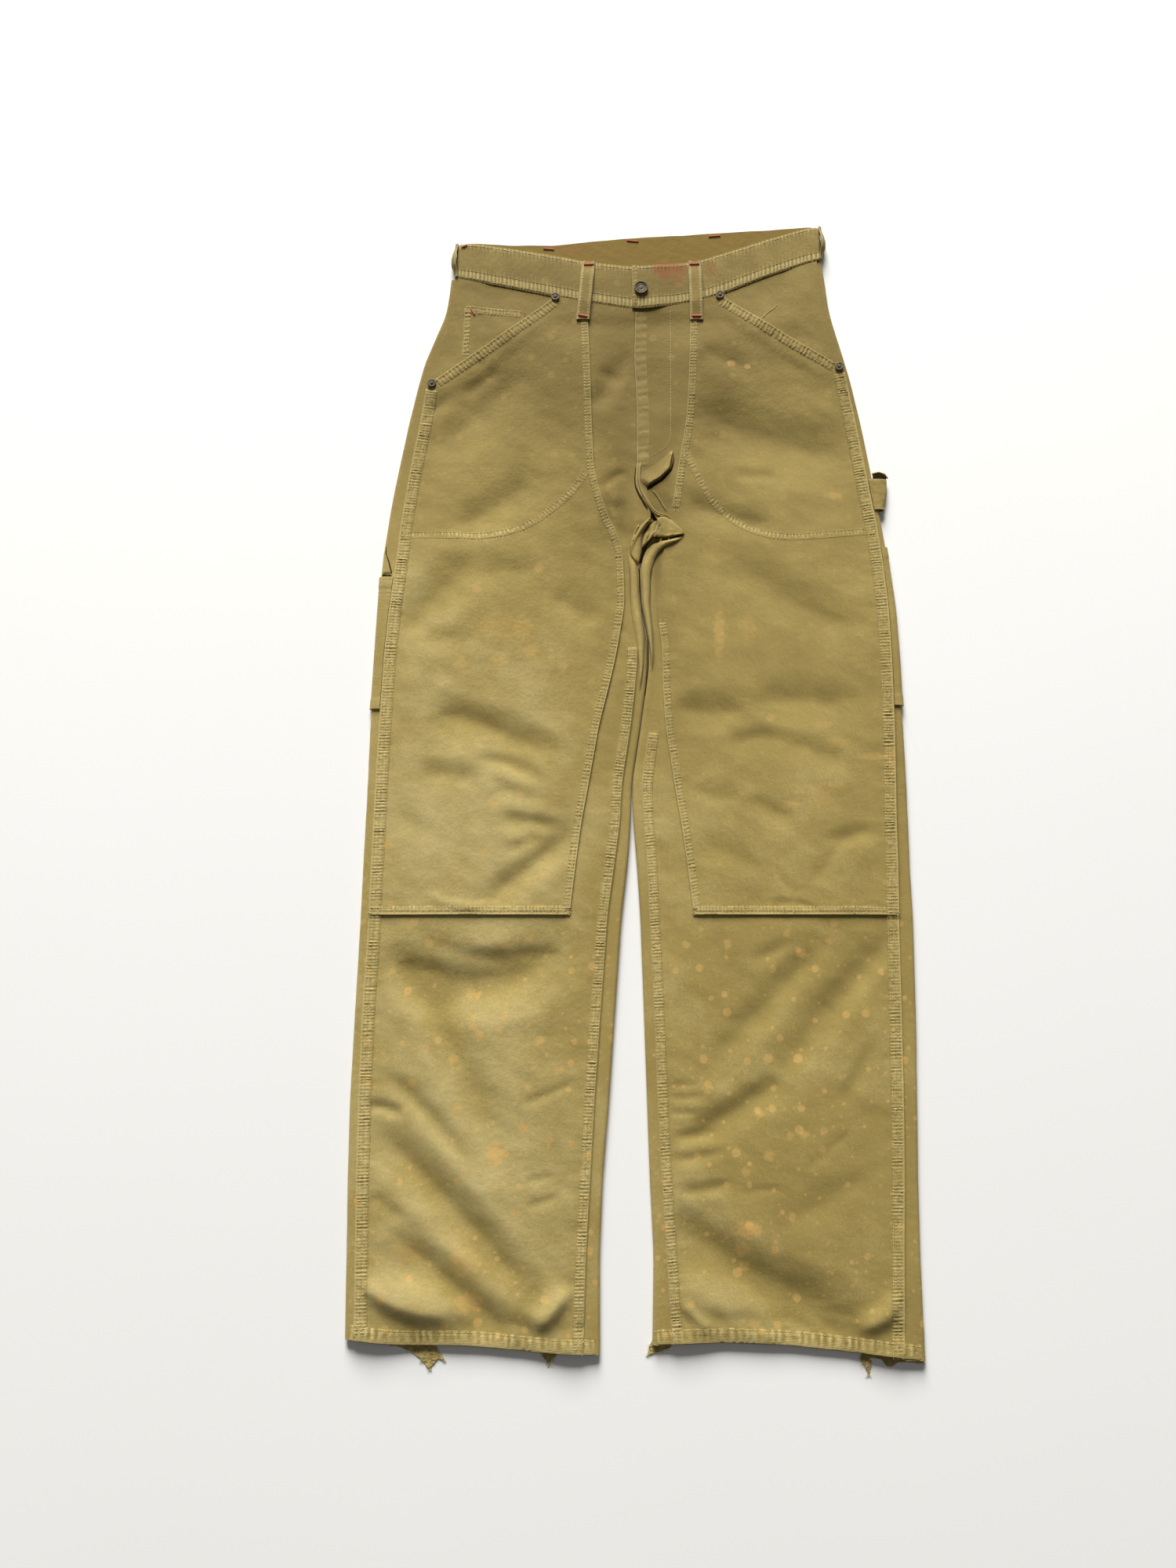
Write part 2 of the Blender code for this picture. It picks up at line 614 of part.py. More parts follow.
def make_side_loop(leg, material):
    """Belt loop on the folded side of the waistband: it bows out from the band like a bridge."""
    end = BAND_ENDS[0] if leg.side < 0 else BAND_ENDS[1]
    radius = (BAND_SIDE - BAND_BACK) / 2 + BAND_THICKNESS / 2
    centre = end - leg.side * radius
    height = (BAND_SIDE + BAND_BACK) / 2
    low, top = band_edges(end, 0.5)
    stands = ((0.06, 0.3), (0.2, 0.5), (0.34, 2.6), (0.5, 3.2), (0.66, 2.6), (0.8, 0.5), (0.94, 0.3))
    inner, outer = [], []
    for share, stand in stands:
        y = mix(low, top, share)
        angles = [math.radians(turn) for turn in (-34, -10, 14, 38, 62)]
        for grid, reach in ((inner, radius + stand), (outer, radius + stand + CLOTH)):
            grid.append([(centre + leg.side * reach * math.cos(angle), y,
                          height + reach * math.sin(angle)) for angle in angles])
    return cloth_wall("belt_loop_side_" + leg.name, inner, outer, material)


def make_back_loop(name, x, material):
    """Belt loop under the back of the waistband, flat on the floor."""
    low, top = band_edges(x, 0.0)
    rows = [(x, y, 0.0, 0.0, 1.0) for y in (low + LAP + 2.0, mix(low, top, 0.5), top - 1.0)]
    return make_strap(name, rows, 14.0, (1, 0, 0), material)


def make_watch_pocket(facing, material):
    """Small pocket on the wearer's right facing, cut off by the slash."""
    slash = SLASHES["R"]
    left, right, columns, rows = -167.0, -108.0, 5, 3
    inner = []
    for row in range(rows + 1):
        line = []
        for column in range(columns + 1):
            x = mix(left, right, column / columns)
            share = (x - slash.low_x) / (slash.top_x - slash.low_x)
            low = mix(slash.low_y, slash.top_y, share) - SLASH_BOW * math.sin(math.pi * share) + 2.0
            y = mix(low, mix(465.0, 459.5, column / columns), row / rows)
            line.append((x, y, top_of([facing], x, y) + GAP + 0.15))
        inner.append(line)
    outer = [[(x, y, z + CLOTH + (BAND_RISE if row == rows else 0.0)) for x, y, z in line]
             for row, line in enumerate(inner)]
    return cloth_wall("watch_pocket", inner, outer, material)


def make_tool_pocket(leg, low_y, top_y, slant, material):
    """Tool pocket on the back panel, where it turns over the leg's outer edge."""
    reach = ROLL + CLOTH / 2 + GAP
    foot_angle = math.radians(56)
    inner, outer = [], []
    for step in range(6):
        share = step / 5
        y = mix(low_y, top_y, share)
        centre = leg.x(y, "edge") - leg.side * (ROLL + CLOTH / 2)
        rise = BAND_RISE if step in (0, 5) else 0.0
        end = leg.x(y, "seam") + leg.side * 0.8
        for grid, radius in ((inner, reach), (outer, reach + CLOTH + rise)):
            line = [(end, y - slant * share, ROLL + CLOTH / 2 + radius)]
            for turn in range(6):
                angle = mix(math.pi, foot_angle, turn / 5)
                line.append((centre + leg.side * radius * math.sin(angle), y - slant * share * (1 - turn / 5),
                             ROLL + CLOTH / 2 - radius * math.cos(angle)))
            grid.append(line)
    return cloth_wall("tool_pocket_" + leg.name, inner, outer, material)


def make_hammer_loop(material):
    """Hammer loop: a strap that stands out from the wearer's left side."""
    low_y, high_y, wall, corner = 251.0, 281.0, 252.6, 1.8
    low, high = 1.25, ROLL_TOP + GAP
    inner, outer = [], []
    for step in range(4):
        y = mix(low_y, high_y, step / 3)
        edge = LEFT.x(y, "edge")
        path = [(LEFT.x(y, "seam") + 1.0, high, 0.0, 1.0), (edge, high + 0.5, 0.0, 1.0),
                (wall - corner, high, 0.38, 0.92), (wall, high - corner, 0.92, 0.38),
                (wall, low + corner, 0.92, -0.38), (wall - corner, low, 0.38, -0.92),
                (edge + 0.5, low, 0.0, -1.0)]
        inner.append([(x, y, z) for x, z, _, _ in path])
        outer.append([(x + nx * CLOTH, y, z + nz * CLOTH) for x, z, nx, nz in path])
    return cloth_wall("hammer_loop_L", inner, outer, material)


def make_fray(name, x, width, length, lean, material):
    """Torn tag of the back hem, tapering away from the hem line."""
    sides = (x - width / 2, x + width / 2)
    tops = [curved(HEM_LINE, "x", side, "y") - 2 * GAP for side in sides]
    inner, outer = [], []
    for share, taper in ((0.0, 1.0), (0.35, 0.75), (0.7, 0.55), (1.0, 0.25)):
        centre = x + lean * share
        half = width * taper / 2
        line = [(centre - half, tops[0] - length * share), (centre, sum(tops) / 2 - length * share * 0.9),
                (centre + half, tops[1] - length * share)]
        inner.append([(px, py, 0.1) for px, py in line])
        outer.append([(px, py, 0.1 + CLOTH) for px, py in line])
    return cloth_wall(name, inner, outer, material)


def make_rivet(name, x, y, carriers, material):
    """Rivet cap with a small centre nub."""
    seat = seat_over(carriers, x, y, RIVET_RADIUS)
    outer, nub = RIVET_RADIUS, 1.5
    profile = ((0, 0), (outer - 0.5, 0), (outer, 0.3), (outer - 0.3, 0.8), (outer - 1.2, 1.1),
               (nub + 0.6, 0.7), (nub, 1.0), (nub * 0.5, 1.5), (0, 1.6))
    return turned(name, profile, (x, y, seat), material)


def make_waist_button(x, y, carriers, material):
    """Waist button: a dished metal cap with a rolled rim."""
    seat = seat_over(carriers, x, y, BUTTON_RADIUS)
    outer = BUTTON_RADIUS
    profile = ((0, 0), (outer - 2.5, 0), (outer - 2.2, 0.8), (outer - 0.4, 1.0), (outer, 1.7),
               (outer - 0.5, 2.5), (outer - 1.4, 2.7), (outer - 2.2, 2.2), (outer - 3.6, 2.0), (0, 2.3))
    return turned("waist_button", profile, (x, y, seat), material)


def build():
    """Make every piece of the garment."""
    clear_scene()
    cloth = make_material("faded_olive_cloth", CLOTH_COLOUR, 0.85)
    lining = make_material("shaded_olive_cloth", LINING_COLOUR, 0.9)
    worn = make_material("worn_olive_cloth", WORN_COLOUR, 0.9)
    metal = make_material("dark_antique_metal", METAL_COLOUR, 0.42, 0.85)

    band = make_waistband(worn)
    carriers = [band]
    for leg in (RIGHT, LEFT):
        make_back_panel(leg, lining)
        front = make_front_panel(leg, cloth)
        double = make_double_front(leg, cloth)
        facing = make_pocket_facing(leg, cloth)
        carriers += [front, double, facing]
        if leg is RIGHT:
            carriers.append(make_watch_pocket(facing, cloth))
    for leg in (RIGHT, LEFT):
        make_front_loop(leg, carriers, worn)
        make_side_loop(leg, worn)
        slash = leg.slash
        make_rivet("rivet_top_" + leg.name, slash.top_x, slash.top_y - 1.0, carriers, metal)
        make_rivet("rivet_low_" + leg.name, slash.low_x, slash.low_y - 2.0, carriers, metal)
    for name, x in (("belt_loop_back_R", -86.0), ("belt_loop_back_centre", 4.0), ("belt_loop_back_L", 86.0)):
        make_back_loop(name, x, worn)
    make_waist_button(12.0, 484.0, carriers, metal)
    make_tool_pocket(RIGHT, 47.0, 181.0, 0.0, cloth)
    make_tool_pocket(LEFT, 51.0, 210.0, 0.0, cloth)
    make_hammer_loop(worn)
    for name, x, width, length, lean in (
            ("hem_fray_R_outer", -192.0, 26.0, 26.0, 8.0), ("hem_fray_R_inner", -78.0, 20.0, 13.0, 4.0),
            ("hem_fray_L_inner", 22.0, 18.0, 10.0, -6.0), ("hem_fray_L_outer", 214.0, 24.0, 17.0, -4.0)):
        make_fray(name, x, width, length, lean, worn)


if __name__ == "__main__":
    build()
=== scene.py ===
"""Looks of a pair of faded carpenter pants laid flat with the front up.

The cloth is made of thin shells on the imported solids' form, with its folds, felled seams, sewing,
stains and metal. Sizes in the tables are in millimetres, in the garment's own layout: X across, Y
from the hems to the waist, Z up. _R and _L are the wearer's right and left.
"""

import math
from collections import namedtuple

import bmesh
import bpy
import numpy as np
from bpy.props import FloatProperty, FloatVectorProperty, PointerProperty
from mathutils import Matrix, Vector, noise
from mathutils.bvhtree import BVHTree


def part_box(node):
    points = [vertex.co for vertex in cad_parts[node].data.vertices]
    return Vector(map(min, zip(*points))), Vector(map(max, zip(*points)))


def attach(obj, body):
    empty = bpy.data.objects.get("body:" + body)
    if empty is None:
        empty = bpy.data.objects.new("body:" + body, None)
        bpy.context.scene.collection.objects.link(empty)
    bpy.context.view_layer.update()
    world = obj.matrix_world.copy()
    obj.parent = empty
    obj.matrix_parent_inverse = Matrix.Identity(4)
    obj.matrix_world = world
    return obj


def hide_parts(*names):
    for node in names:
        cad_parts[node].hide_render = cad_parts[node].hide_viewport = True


bl_info = {
    "name": "Laid Carpenter Pants",
    "version": (1, 0, 0),
    "blender": (4, 5, 0),
    "location": "View3D > Sidebar > Pants",
    "description": "Builds the cloth, seams, sewing, metal and stage of a pair of carpenter pants",
    "category": "Object",
}

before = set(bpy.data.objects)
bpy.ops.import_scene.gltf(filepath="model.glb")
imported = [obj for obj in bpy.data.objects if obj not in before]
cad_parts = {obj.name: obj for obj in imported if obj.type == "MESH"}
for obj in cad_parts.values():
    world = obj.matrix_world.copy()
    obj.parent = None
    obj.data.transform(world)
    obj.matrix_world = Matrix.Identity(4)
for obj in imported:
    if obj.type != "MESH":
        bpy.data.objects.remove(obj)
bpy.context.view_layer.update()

MM = 0.001
CENTRE = Vector((1.5, -1.7, 0.0))   # middle of the outline, which lies at the frame's origin
BODY = "root"

# Layout, as the solids have it
FELL_WIDTH = 13.0     # width of the felled outseam
ROLL = 2.5            # radius at which the backs turn over the edges
LAP = 2.0             # how far the backs and the waistband go under or over the fronts
SINK = 3.2            # height of the fronts' inner face between the seams, without their swell
FLY_HEIGHT = 4.6      # height of that face beside the fly
FLY_FOOT = 290.0      # where the fronts rise from the fly's height to the inseam's
FLY_RAMP = 60.0
SHOULDER = 40.0       # how far the fronts slope down from the seams
SWELL = 6.2           # how far the fronts swell up between the seams
SWELL_MARGIN = 60.0   # how far from a seam the swell is full
FOLD_MARGIN = 15.0    # how far from a seam the folds are full
FOLD_BLUNT = 0.16     # how round the bottom of a fold is, in shares of its reach
FOLD_SHARPNESS = 1.5  # how steeply a fold's flanks meet
HEM, KNEE, CROTCH, SLASH_ROW, WAIST = -535.0, -151.0, 225.0, 372.0, 478.0

# Each leg's lines, by height up the garment: outer edge, outseam, edge of the double front, inseam
# and inner edge
Section = namedtuple("Section", "y edge seam overlay inseam inner")
RIGHT_LEG = tuple(Section(*row) for row in (
    (520, -179, -173, -42, 9, 10), (460, -185, -177, -42, 6, 12), (407, -206, -194, -40, 4.5, 13.8),
    (382, -212, -203, -39, 6, 14.6), (340, -221, -209, -38, 7, 16), (290, -230, -218, -36, 6, 18),
    (262, -235, -222, -29, 10, 20), (240, -238, -225, -22, 26, 21), (225, -240, -227, -14, 9, 20),
    (210, -242, -228, -9, 1, 15), (192, -244, -230, -7, -1, 9), (150, -246, -235, -6, 0, 10),
    (102, -248, -239, -14, 7, 16), (75, -249, -240, -20, 5, 15), (31, -251, -242, -31, 0, 9),
    (-26, -252, -244, -41, -9, 0), (-64, -253, -245, -48, -11, -1), (-101, -254, -246, -53, -16, -4),
    (-151, -255, -247, -59, -23, -10), (-247, -258, -251, -61, -30, -17),
    (-317, -260, -252, -63, -35, -22), (-387, -260, -252, -66, -39, -28),
    (-455, -259, -251, -70, -43, -31), (-545, -258, -250, -74, -46, -31),
))
LEFT_LEG = tuple(Section(*row) for row in (
    (520, 197, 191, 64, 9, 10), (460, 203, 197, 62, 6, 12), (407, 217, 212, 60, 4.5, 13.8),
    (382, 223, 218, 59, 6, 14.6), (340, 231, 225, 56, 7, 16), (290, 239, 233, 47, 6, 18),
    (262, 243, 237, 43, 10, 20), (240, 247, 241, 40, 26, 21), (225, 249, 243, 40, 33, 20),
    (210, 251, 245, 34, 26, 15), (192, 253, 247, 27, 21, 9), (150, 257.5, 250.5, 25, 19, 10),
    (102, 259.5, 252, 30, 24, 16), (75, 260, 252, 30, 23, 15), (31, 261, 252, 32, 17, 9),
    (-26, 262, 251, 40, 9, 0), (-64, 262, 250, 46, 10, 1), (-101, 262, 250, 51, 13, 4),
    (-151, 263, 249, 57, 15, 7), (-247, 262, 248, 56, 19, 10), (-317, 260, 247, 55, 21, 12),
    (-387, 258, 245, 56, 24, 14), (-455, 257, 242, 58, 28, 17), (-545, 258, 239, 62, 33, 15),
))
# Edges of the waistband, at the front and at the back
Waist = namedtuple("Waist", "x front_low front_top back_low back_top")
WAIST_LINE = tuple(Waist(*row) for row in (
    (-190, 499, 530, 499, 530), (-162, 494, 536, 494, 538), (-122, 486, 530, 489, 535),
    (-75, 476, 522, 493, 535), (-42, 470, 515, 497, 539), (12, 461, 509, 501, 544),
    (67, 471, 515, 504, 547), (92, 478, 523, 507, 549), (142, 499, 540, 512, 552),
    (188, 515, 554, 515, 556), (210, 519, 550, 519, 550),
))
# Line of the hems
Hem = namedtuple("Hem", "x y")
HEM_LINE = tuple(Hem(*row) for row in (
    (-262, -527), (-216, -532), (-146, -533), (-77, -539), (-31, -541), (12, -532), (77, -530),
    (132, -532), (202, -539), (262, -546),
))
# Ends of the pocket slashes, and how far they sag between them
Slash = namedtuple("Slash", "low_x low_y top_x top_y")
SLASHES = {"R": Slash(-198, 382, -75, 476), "L": Slash(210, 400, 92, 478)}
SLASH_BOW = 3.0

# Waistband: heights of its middle at the front and where it folds over at the sides, its ends in x,
# the ends of its lap and how far it rises towards the lap
BAND_THICKNESS = 2.5
BAND_FRONT = 6.05
BAND_SIDE = 6.85
BAND_SIDE_REACH = 60.0
BAND_ENDS = (-176.0, 196.0)
BAND_LAP = (3.0, 19.0)
BAND_RAMP = 26.0

# Folds of the fronts: start, bend and end of a fold's line, how far it reaches on the left and on
# the right of that direction, and its height, which is negative for a trough
Fold = namedtuple("Fold", "x0 y0 x1 y1 x2 y2 left right height")
FOLDS = tuple(Fold(*row) for row in (
    # Wearer's right, below the knee
    (-234, -176, -156, -260, -50, -168, 36, 42, -6.8),
    (-212, -158, -160, -197, -98, -190, 13, 14, -1.6), (-114, -186, -90, -191, -66, -183, 12, 9, -0.8),
    (-224, -176, -158, -272, -110, -402, 34, 26, -4.4),
    (-234, -290, -192, -322, -148, -378, 14, 12, -2.6),
    (-246, -332, -162, -412, -76, -512, 26, 30, -5.8),
    (-220, -432, -160, -488, -106, -526, 24, 34, -5.4), (-246, -326, -230, -322, -206, -334, 8, 10, -2),
    (-252, -470, -218, -512, -132, -511, 34, 13, 4.6), (-94, -520, -72, -508, -57, -480, 20, 11, 4.2),
    (-106, -322, -80, -318, -52, -300, 5, 7, -1), (-100, -392, -86, -389, -70, -385, 4, 6, -0.9),
    (-98, -413, -84, -409, -64, -402, 4, 7, -1), (-240, -402, -226, -410, -206, -428, 9, 12, -1.4),
    (-190, -262, -178, -290, -172, -318, 6, 8, -0.8),
    # Wearer's right, thigh and knee
    (-224, 108, -196, 160, -138, 210, 28, 32, -2.8), (-152, 178, -120, 190, -86, 182, 24, 26, -1.6),
    (-78, 162, -56, 150, -32, 128, 26, 24, -2), (-208, 112, -176, 119, -146, 115, 16, 22, -1.3),
    (-200, 46, -140, 36, -58, -6, 24, 36, -3.8), (-152, -5, -120, 4, -76, -30, 10, 15, -1.8),
    (-134, -29, -108, -37, -82, -44, 12, 14, -1.5), (-126, -57, -96, -63, -62, -70, 10, 20, -2),
    (-142, -142, -104, -112, -47, -64, 18, 24, -3.6), (-122, -92, -100, -85, -84, -75, 10, 12, -1.5),
    (-192, -126, -180, -147, -128, -142, 6, 7, 1.3), (-208, -22, -180, -13, -138, -26, 20, 22, -1.7),
    (-228, -52, -206, -60, -190, -82, 14, 16, -0.9),
    # Wearer's right, hip and seat
    (-204, 296, -150, 350, -98, 400, 30, 36, -2.8), (-188, 226, -130, 240, -88, 292, 24, 30, -2.6),
    (-172, 366, -150, 378, -128, 396, 9, 12, -1.2), (-214, 346, -196, 352, -178, 364, 8, 12, -1.2),
    (-38, 350, -22, 374, -2, 424, 15, 16, -2.6), (-32, 268, -22, 282, -3, 290, 6, 9, -1.8),
    (-14.7, 262, -14, 240, -7, 208, 9, 3.5, -2.6), (-30, 400, -18, 388, -4, 384, 8, 12, -1.6),
    # Wearer's left, hip
    (50, 354, 140, 318, 234, 298, 44, 50, -5), (46, 262, 90, 236, 150, 228, 22, 24, -2.6),
    (98, 286, 122, 280, 146, 284, 9, 12, -1), (72, 420, 90, 404, 120, 396, 16, 18, -1.4),
    (22, 412, 30, 380, 28, 345, 7, 9, -1.6), (24, 452, 30, 440, 33, 424, 4, 5, -0.9),
    # Wearer's left, thigh and knee
    (74, 224, 140, 150, 230, 120, 30, 36, -3), (38, 55, 76, 33, 120, 52, 26, 26, -2.8),
    (106, 51, 150, 61, 226, 46, 28, 30, -2.6), (86, 5, 118, 29, 150, 12, 14, 22, -1.6),
    (138, 14, 168, 10, 208, -8, 16, 20, -1.5), (110, -35, 130, -56, 160, -62, 12, 18, -1.6),
    (58, -82, 92, -88, 120, -114, 20, 24, -1.5), (126, -143, 150, -133, 180, -150, 5, 6, -1.1),
    (166, -130, 178, -100, 208, -75, 6, 7, -1), (122, -96, 140, -112, 158, -142, 5, 6, -0.9),
    (174, -87, 200, -74, 234, -72, 12, 14, -1.4), (60, -30, 84, -44, 104, -40, 18, 18, -1.2),
    # Wearer's left, below the knee
    (40, -356, 92, -331, 144, -296, 18, 24, -3), (128, -306, 168, -250, 228, -160, 30, 26, -2.6),
    (58, -302, 128, -226, 198, -158, 22, 24, -2.3), (108, -195, 132, -187, 152, -171, 12, 10, -1.3),
    (174, -252, 206, -214, 240, -168, 18, 18, -2.2), (34, -352, 52, -355, 78, -346, 8, 8, -1.4),
    (36, -373, 54, -373, 86, -362, 7, 8, -1.3), (38, -398, 60, -403, 94, -391, 9, 10, -1.4),
    (32, -306, 44, -307, 60, -304, 4, 4, -0.8), (33, -318, 46, -319, 66, -315, 4, 4, -0.8),
    (33, -330, 46, -332, 62, -329, 4, 5, -0.9), (30, -412, 92, -492, 216, -512, 36, 42, -6.9),
    (118, -440, 170, -410, 238, -370, 18, 20, -1.1), (150, -388, 176, -360, 202, -345, 4, 6, -0.9),
    (96, -402, 116, -396, 138, -400, 5, 6, -0.9), (194, -519, 226, -516, 241, -486, 18, 11, 3.8),
    (43, -492, 50, -512, 72, -520, 7, 8, 2.2), (186, -330, 204, -300, 222, -262, 10, 12, -1.2),
))

# Stained and bleached places: x, y, reach along x and y, and how strongly they show
Blot = namedtuple("Blot", "x y reach_x reach_y strength")
BLEACHED = tuple(Blot(*row) for row in (
    (-165, 92, 6, 7, 0.4), (-128, 95, 8, 6, 0.35), (-97, 104, 7, 5, 0.4), (-130, -44, 5, 6, 0.45),
    (-139, -93, 5, 4, 0.4), (-230, -84, 4, 5, 0.45), (-150, 167, 4, 5, 0.35), (-90, 187, 4, 4, 0.4),
    (-65, 88, 4, 4, 0.4), (-105, -33, 4, 5, 0.4), (-128, 128, 22, 14, 0.2), (-104, 126, 8, 10, 0.3),
    (85, 122, 5, 22, 0.45), (113, 125, 8, 12, 0.3), (88, 207, 16, 12, 0.16), (197, 13, 10, 4, 0.4),
    (229, 0, 14, 3, 0.45), (177, -38, 12, 9, 0.35), (160, -32, 5, 4, 0.4), (133, 37, 4, 4, 0.35),
    (184, 31, 8, 3, 0.35), (150, -47, 7, 4, 0.4), (195, -28, 8, 3, 0.35), (247, -2, 4, 16, 0.35),
    (102, 402, 4, 3, 0.6), (118, 398, 3, 2, 0.6), (200, 262, 7, 4, 0.4), (-151, -223, 4, 4, 0.7),
    (-166, -283, 4, 4, 0.7), (-191, -273, 3, 4, 0.6), (-69, -293, 4, 3, 0.6), (-86, -266, 4, 4, 0.7),
    (-123, -256, 3, 3, 0.6), (-147, -254, 4, 3, 0.7), (-161, -327, 4, 4, 0.6), (-126, -368, 6, 10, 0.8),
    (-107, -418, 4, 4, 0.6), (-77, -355, 3, 4, 0.6), (-57, -358, 3, 3, 0.6), (-147, -496, 13, 8, 0.7),
    (-155, -460, 12, 12, 0.45), (-120, -178, 7, 4, 0.4), (-98, -172, 5, 4, 0.4),
    (-204, -452, 14, 8, 0.35), (88, -178, 3, 4, 0.6), (156, -186, 4, 4, 0.6), (144, -168, 3, 4, 0.6),
    (183, -175, 4, 3, 0.6), (115, -332, 4, 3, 0.7), (155, -350, 4, 4, 0.6), (142, -351, 3, 3, 0.6),
    (172, -347, 3, 4, 0.6), (122, -369, 4, 4, 0.6), (102, -434, 11, 6, 0.85), (101, -383, 4, 4, 0.6),
    (97, -450, 6, 6, 0.6), (107, -513, 5, 3, 0.5), (142, -422, 3, 4, 0.6), (67, -311, 4, 3, 0.6),
    (57, -369, 3, 4, 0.6), (171, -363, 3, 3, 0.6), (98, -466, 5, 4, 0.6),
))
RUSTED = tuple(Blot(*row) for row in (
    (42, 508, 17, 8, 0.95), (34, 500, 8, 6, 0.7), (50, 496, 5, 9, 0.5), (84, 508, 5, 10, 0.4),
    (-60, 533, 20, 6, 0.35),
))
# Broad areas paler or darker than the rest: partly real fading (the right knee), mostly painted light and
# shade: darker towards the waist and on the wearer's left, paler towards the hems, and painted shade in the
# hollows at the crotch, beside the fly and along the waistband's lap
FADING_AND_PAINTED_LIGHT = tuple(Blot(*row) for row in (
    (0, 420, 400, 150, -0.50), (1.5, 488, 1.6, 24, -0.6), (0, 100, 400, 150, -0.07),
    (0, -90, 400, 100, 0.06), (0, -400, 400, 240, 0.10), (-25, 248, 5, 20, -0.5),
    (-8, 255, 10, 24, -0.2), (30, 262, 12, 16, -0.3), (26, 190, 5, 34, -0.35), (-7, 330, 6, 60, -0.25),
    (-150, 90, 110, 150, 0.10), (-150, -70, 75, 70, 0.20), (-150, -330, 130, 170, 0.11),
    (-215, 150, 30, 200, 0.06), (160, -100, 120, 150, -0.10), (150, -360, 140, 170, -0.14),
    (15, 380, 36, 110, -0.46), (-60, 380, 26, 80, -0.10), (80, 395, 24, 60, -0.12),
    (-30, 190, 40, 60, -0.14), (40, 100, 30, 110, -0.14),
))


class PantsCloth(bpy.types.PropertyGroup):
    """Sizes and colours of the cloth, its sewing and its metal."""

    thickness: FloatProperty(
        name="Cloth thickness", description="Thickness of one layer", default=0.0012, unit="LENGTH")
    gap: FloatProperty(
        name="Gap", description="Air between layers", default=0.0003, unit="LENGTH")
    stitch_pitch: FloatProperty(
        name="Stitch pitch", description="Distance between stitches", default=0.0031, unit="LENGTH")
    thread: FloatProperty(
        name="Thread", description="Thickness of the sewing thread", default=0.0006, unit="LENGTH")
    fold_strength: FloatProperty(
        name="Fold strength", description="Scales the height of every fold", default=1.15, min=0.0)
    faded: FloatVectorProperty(
        name="Faded cloth", description="Main colour of the cloth", default=(0.330, 0.246, 0.070),
        subtype="COLOR")
    # Darkest end of the cloth's colours: less faded cloth, and also painted shade in creases and hollows
    shaded: FloatVectorProperty(
        name="Unfaded cloth and painted shade", description="Colour in creases", default=(0.190, 0.134, 0.032),
        subtype="COLOR")
    worn: FloatVectorProperty(
        name="Worn cloth", description="Colour of rubbed edges", default=(0.560, 0.460, 0.205),
        subtype="COLOR")
    lining: FloatVectorProperty(
        name="Inside", description="Colour of the inner side", default=(0.195, 0.124, 0.014),
        subtype="COLOR")
    bleach: FloatVectorProperty(
        name="Bleach", description="Colour of the spatter", default=(0.600, 0.370, 0.110), subtype="COLOR")
    rust: FloatVectorProperty(
        name="Rust stain", description="Colour of the brown stain", default=(0.250, 0.098, 0.026),
        subtype="COLOR")
    sewing: FloatVectorProperty(
        name="Sewing thread", description="Colour of the seams' thread", default=(0.400, 0.320, 0.130),
        subtype="COLOR")
    bartack: FloatVectorProperty(
        name="Bartack thread", description="Colour of the bartacks", default=(0.290, 0.042, 0.011),
        subtype="COLOR")
    metal: FloatVectorProperty(
        name="Metal", description="Colour of button and rivets", default=(0.070, 0.055, 0.032),
        subtype="COLOR")


class PantsStage(bpy.types.PropertyGroup):
    """Floor, light and camera."""

    distance: FloatProperty(
        name="Camera distance", description="From the middle of the picture", default=1.3, unit="LENGTH")
    tilt: FloatProperty(
        name="Camera tilt", description="Lean from straight above, towards the hems",
        default=math.radians(10.0), subtype="ANGLE")
    lens: FloatProperty(name="Lens", description="Focal length in mm", default=31.19)
    aim_x: FloatProperty(
        name="Aim across", description="Middle of the picture, across", default=-0.0433, unit="LENGTH")
    aim_y: FloatProperty(
        name="Aim along", description="Middle of the picture, along", default=-0.0233, unit="LENGTH")
    key_power: FloatProperty(
        name="Key light", description="Power of the soft key light", default=2550.0, unit="POWER")
    fill: FloatProperty(name="Fill light", description="Strength of the sky", default=0.15)
    floor: FloatVectorProperty(
        name="Floor", description="Colour of the floor", default=(0.88, 0.88, 0.87), subtype="COLOR")


def cloth():
    """The cloth's settings."""
    return bpy.context.scene.pants_cloth


def layer():
    """What one more layer of cloth adds, in millimetres."""
    return (cloth().thickness + cloth().gap) / MM


def thick():
    """Thickness of the cloth in millimetres."""
    return cloth().thickness / MM


def mix(a, b, share):
    """Blend two values."""
    return a + (b - a) * share


def smooth(value):
    """Ease a share from 0 to 1, held at both ends."""
    share = np.clip(value, 0.0, 1.0)
    return share * share * (3.0 - 2.0 * share)


def soften(values, reach):
    """Blur a row of numbers, holding its ends."""
    window = np.exp(-0.5 * (np.arange(-3 * reach, 3 * reach + 1) / reach) ** 2)
    return np.convolve(np.pad(values, 3 * reach, mode="edge"), window / window.sum(), mode="valid")


def line_of(table, key, column, step=2.0, reach=4):
    """Read a column of a table as a softened curve: its places and its values."""
    rows = sorted(table, key=lambda row: getattr(row, key))
    places = [getattr(row, key) for row in rows]
    at = np.arange(places[0], places[-1] + step, step)
    return at, soften(np.interp(at, places, [getattr(row, column) for row in rows]), reach)


WAIST_CURVES = {column: line_of(WAIST_LINE, "x", column) for column in Waist._fields[1:]}
HEM_CURVE = line_of(HEM_LINE, "x", "y")


def waist_y(x, column):
    """One of the waistband's edges at x."""
    return np.interp(x, *WAIST_CURVES[column])


def hem_y(x):
    """Line of the hems at x."""
    return np.interp(x, *HEM_CURVE)


def ripple(x, y, size, seed=0.0):
    """Smooth noise between -1 and 1 at arrays of points, with features about size across."""
    flat = zip(np.ravel(x), np.ravel(y))
    values = [noise.noise(Vector((px / size, py / size, seed))) for px, py in flat]
    return np.array(values).reshape(np.shape(x))


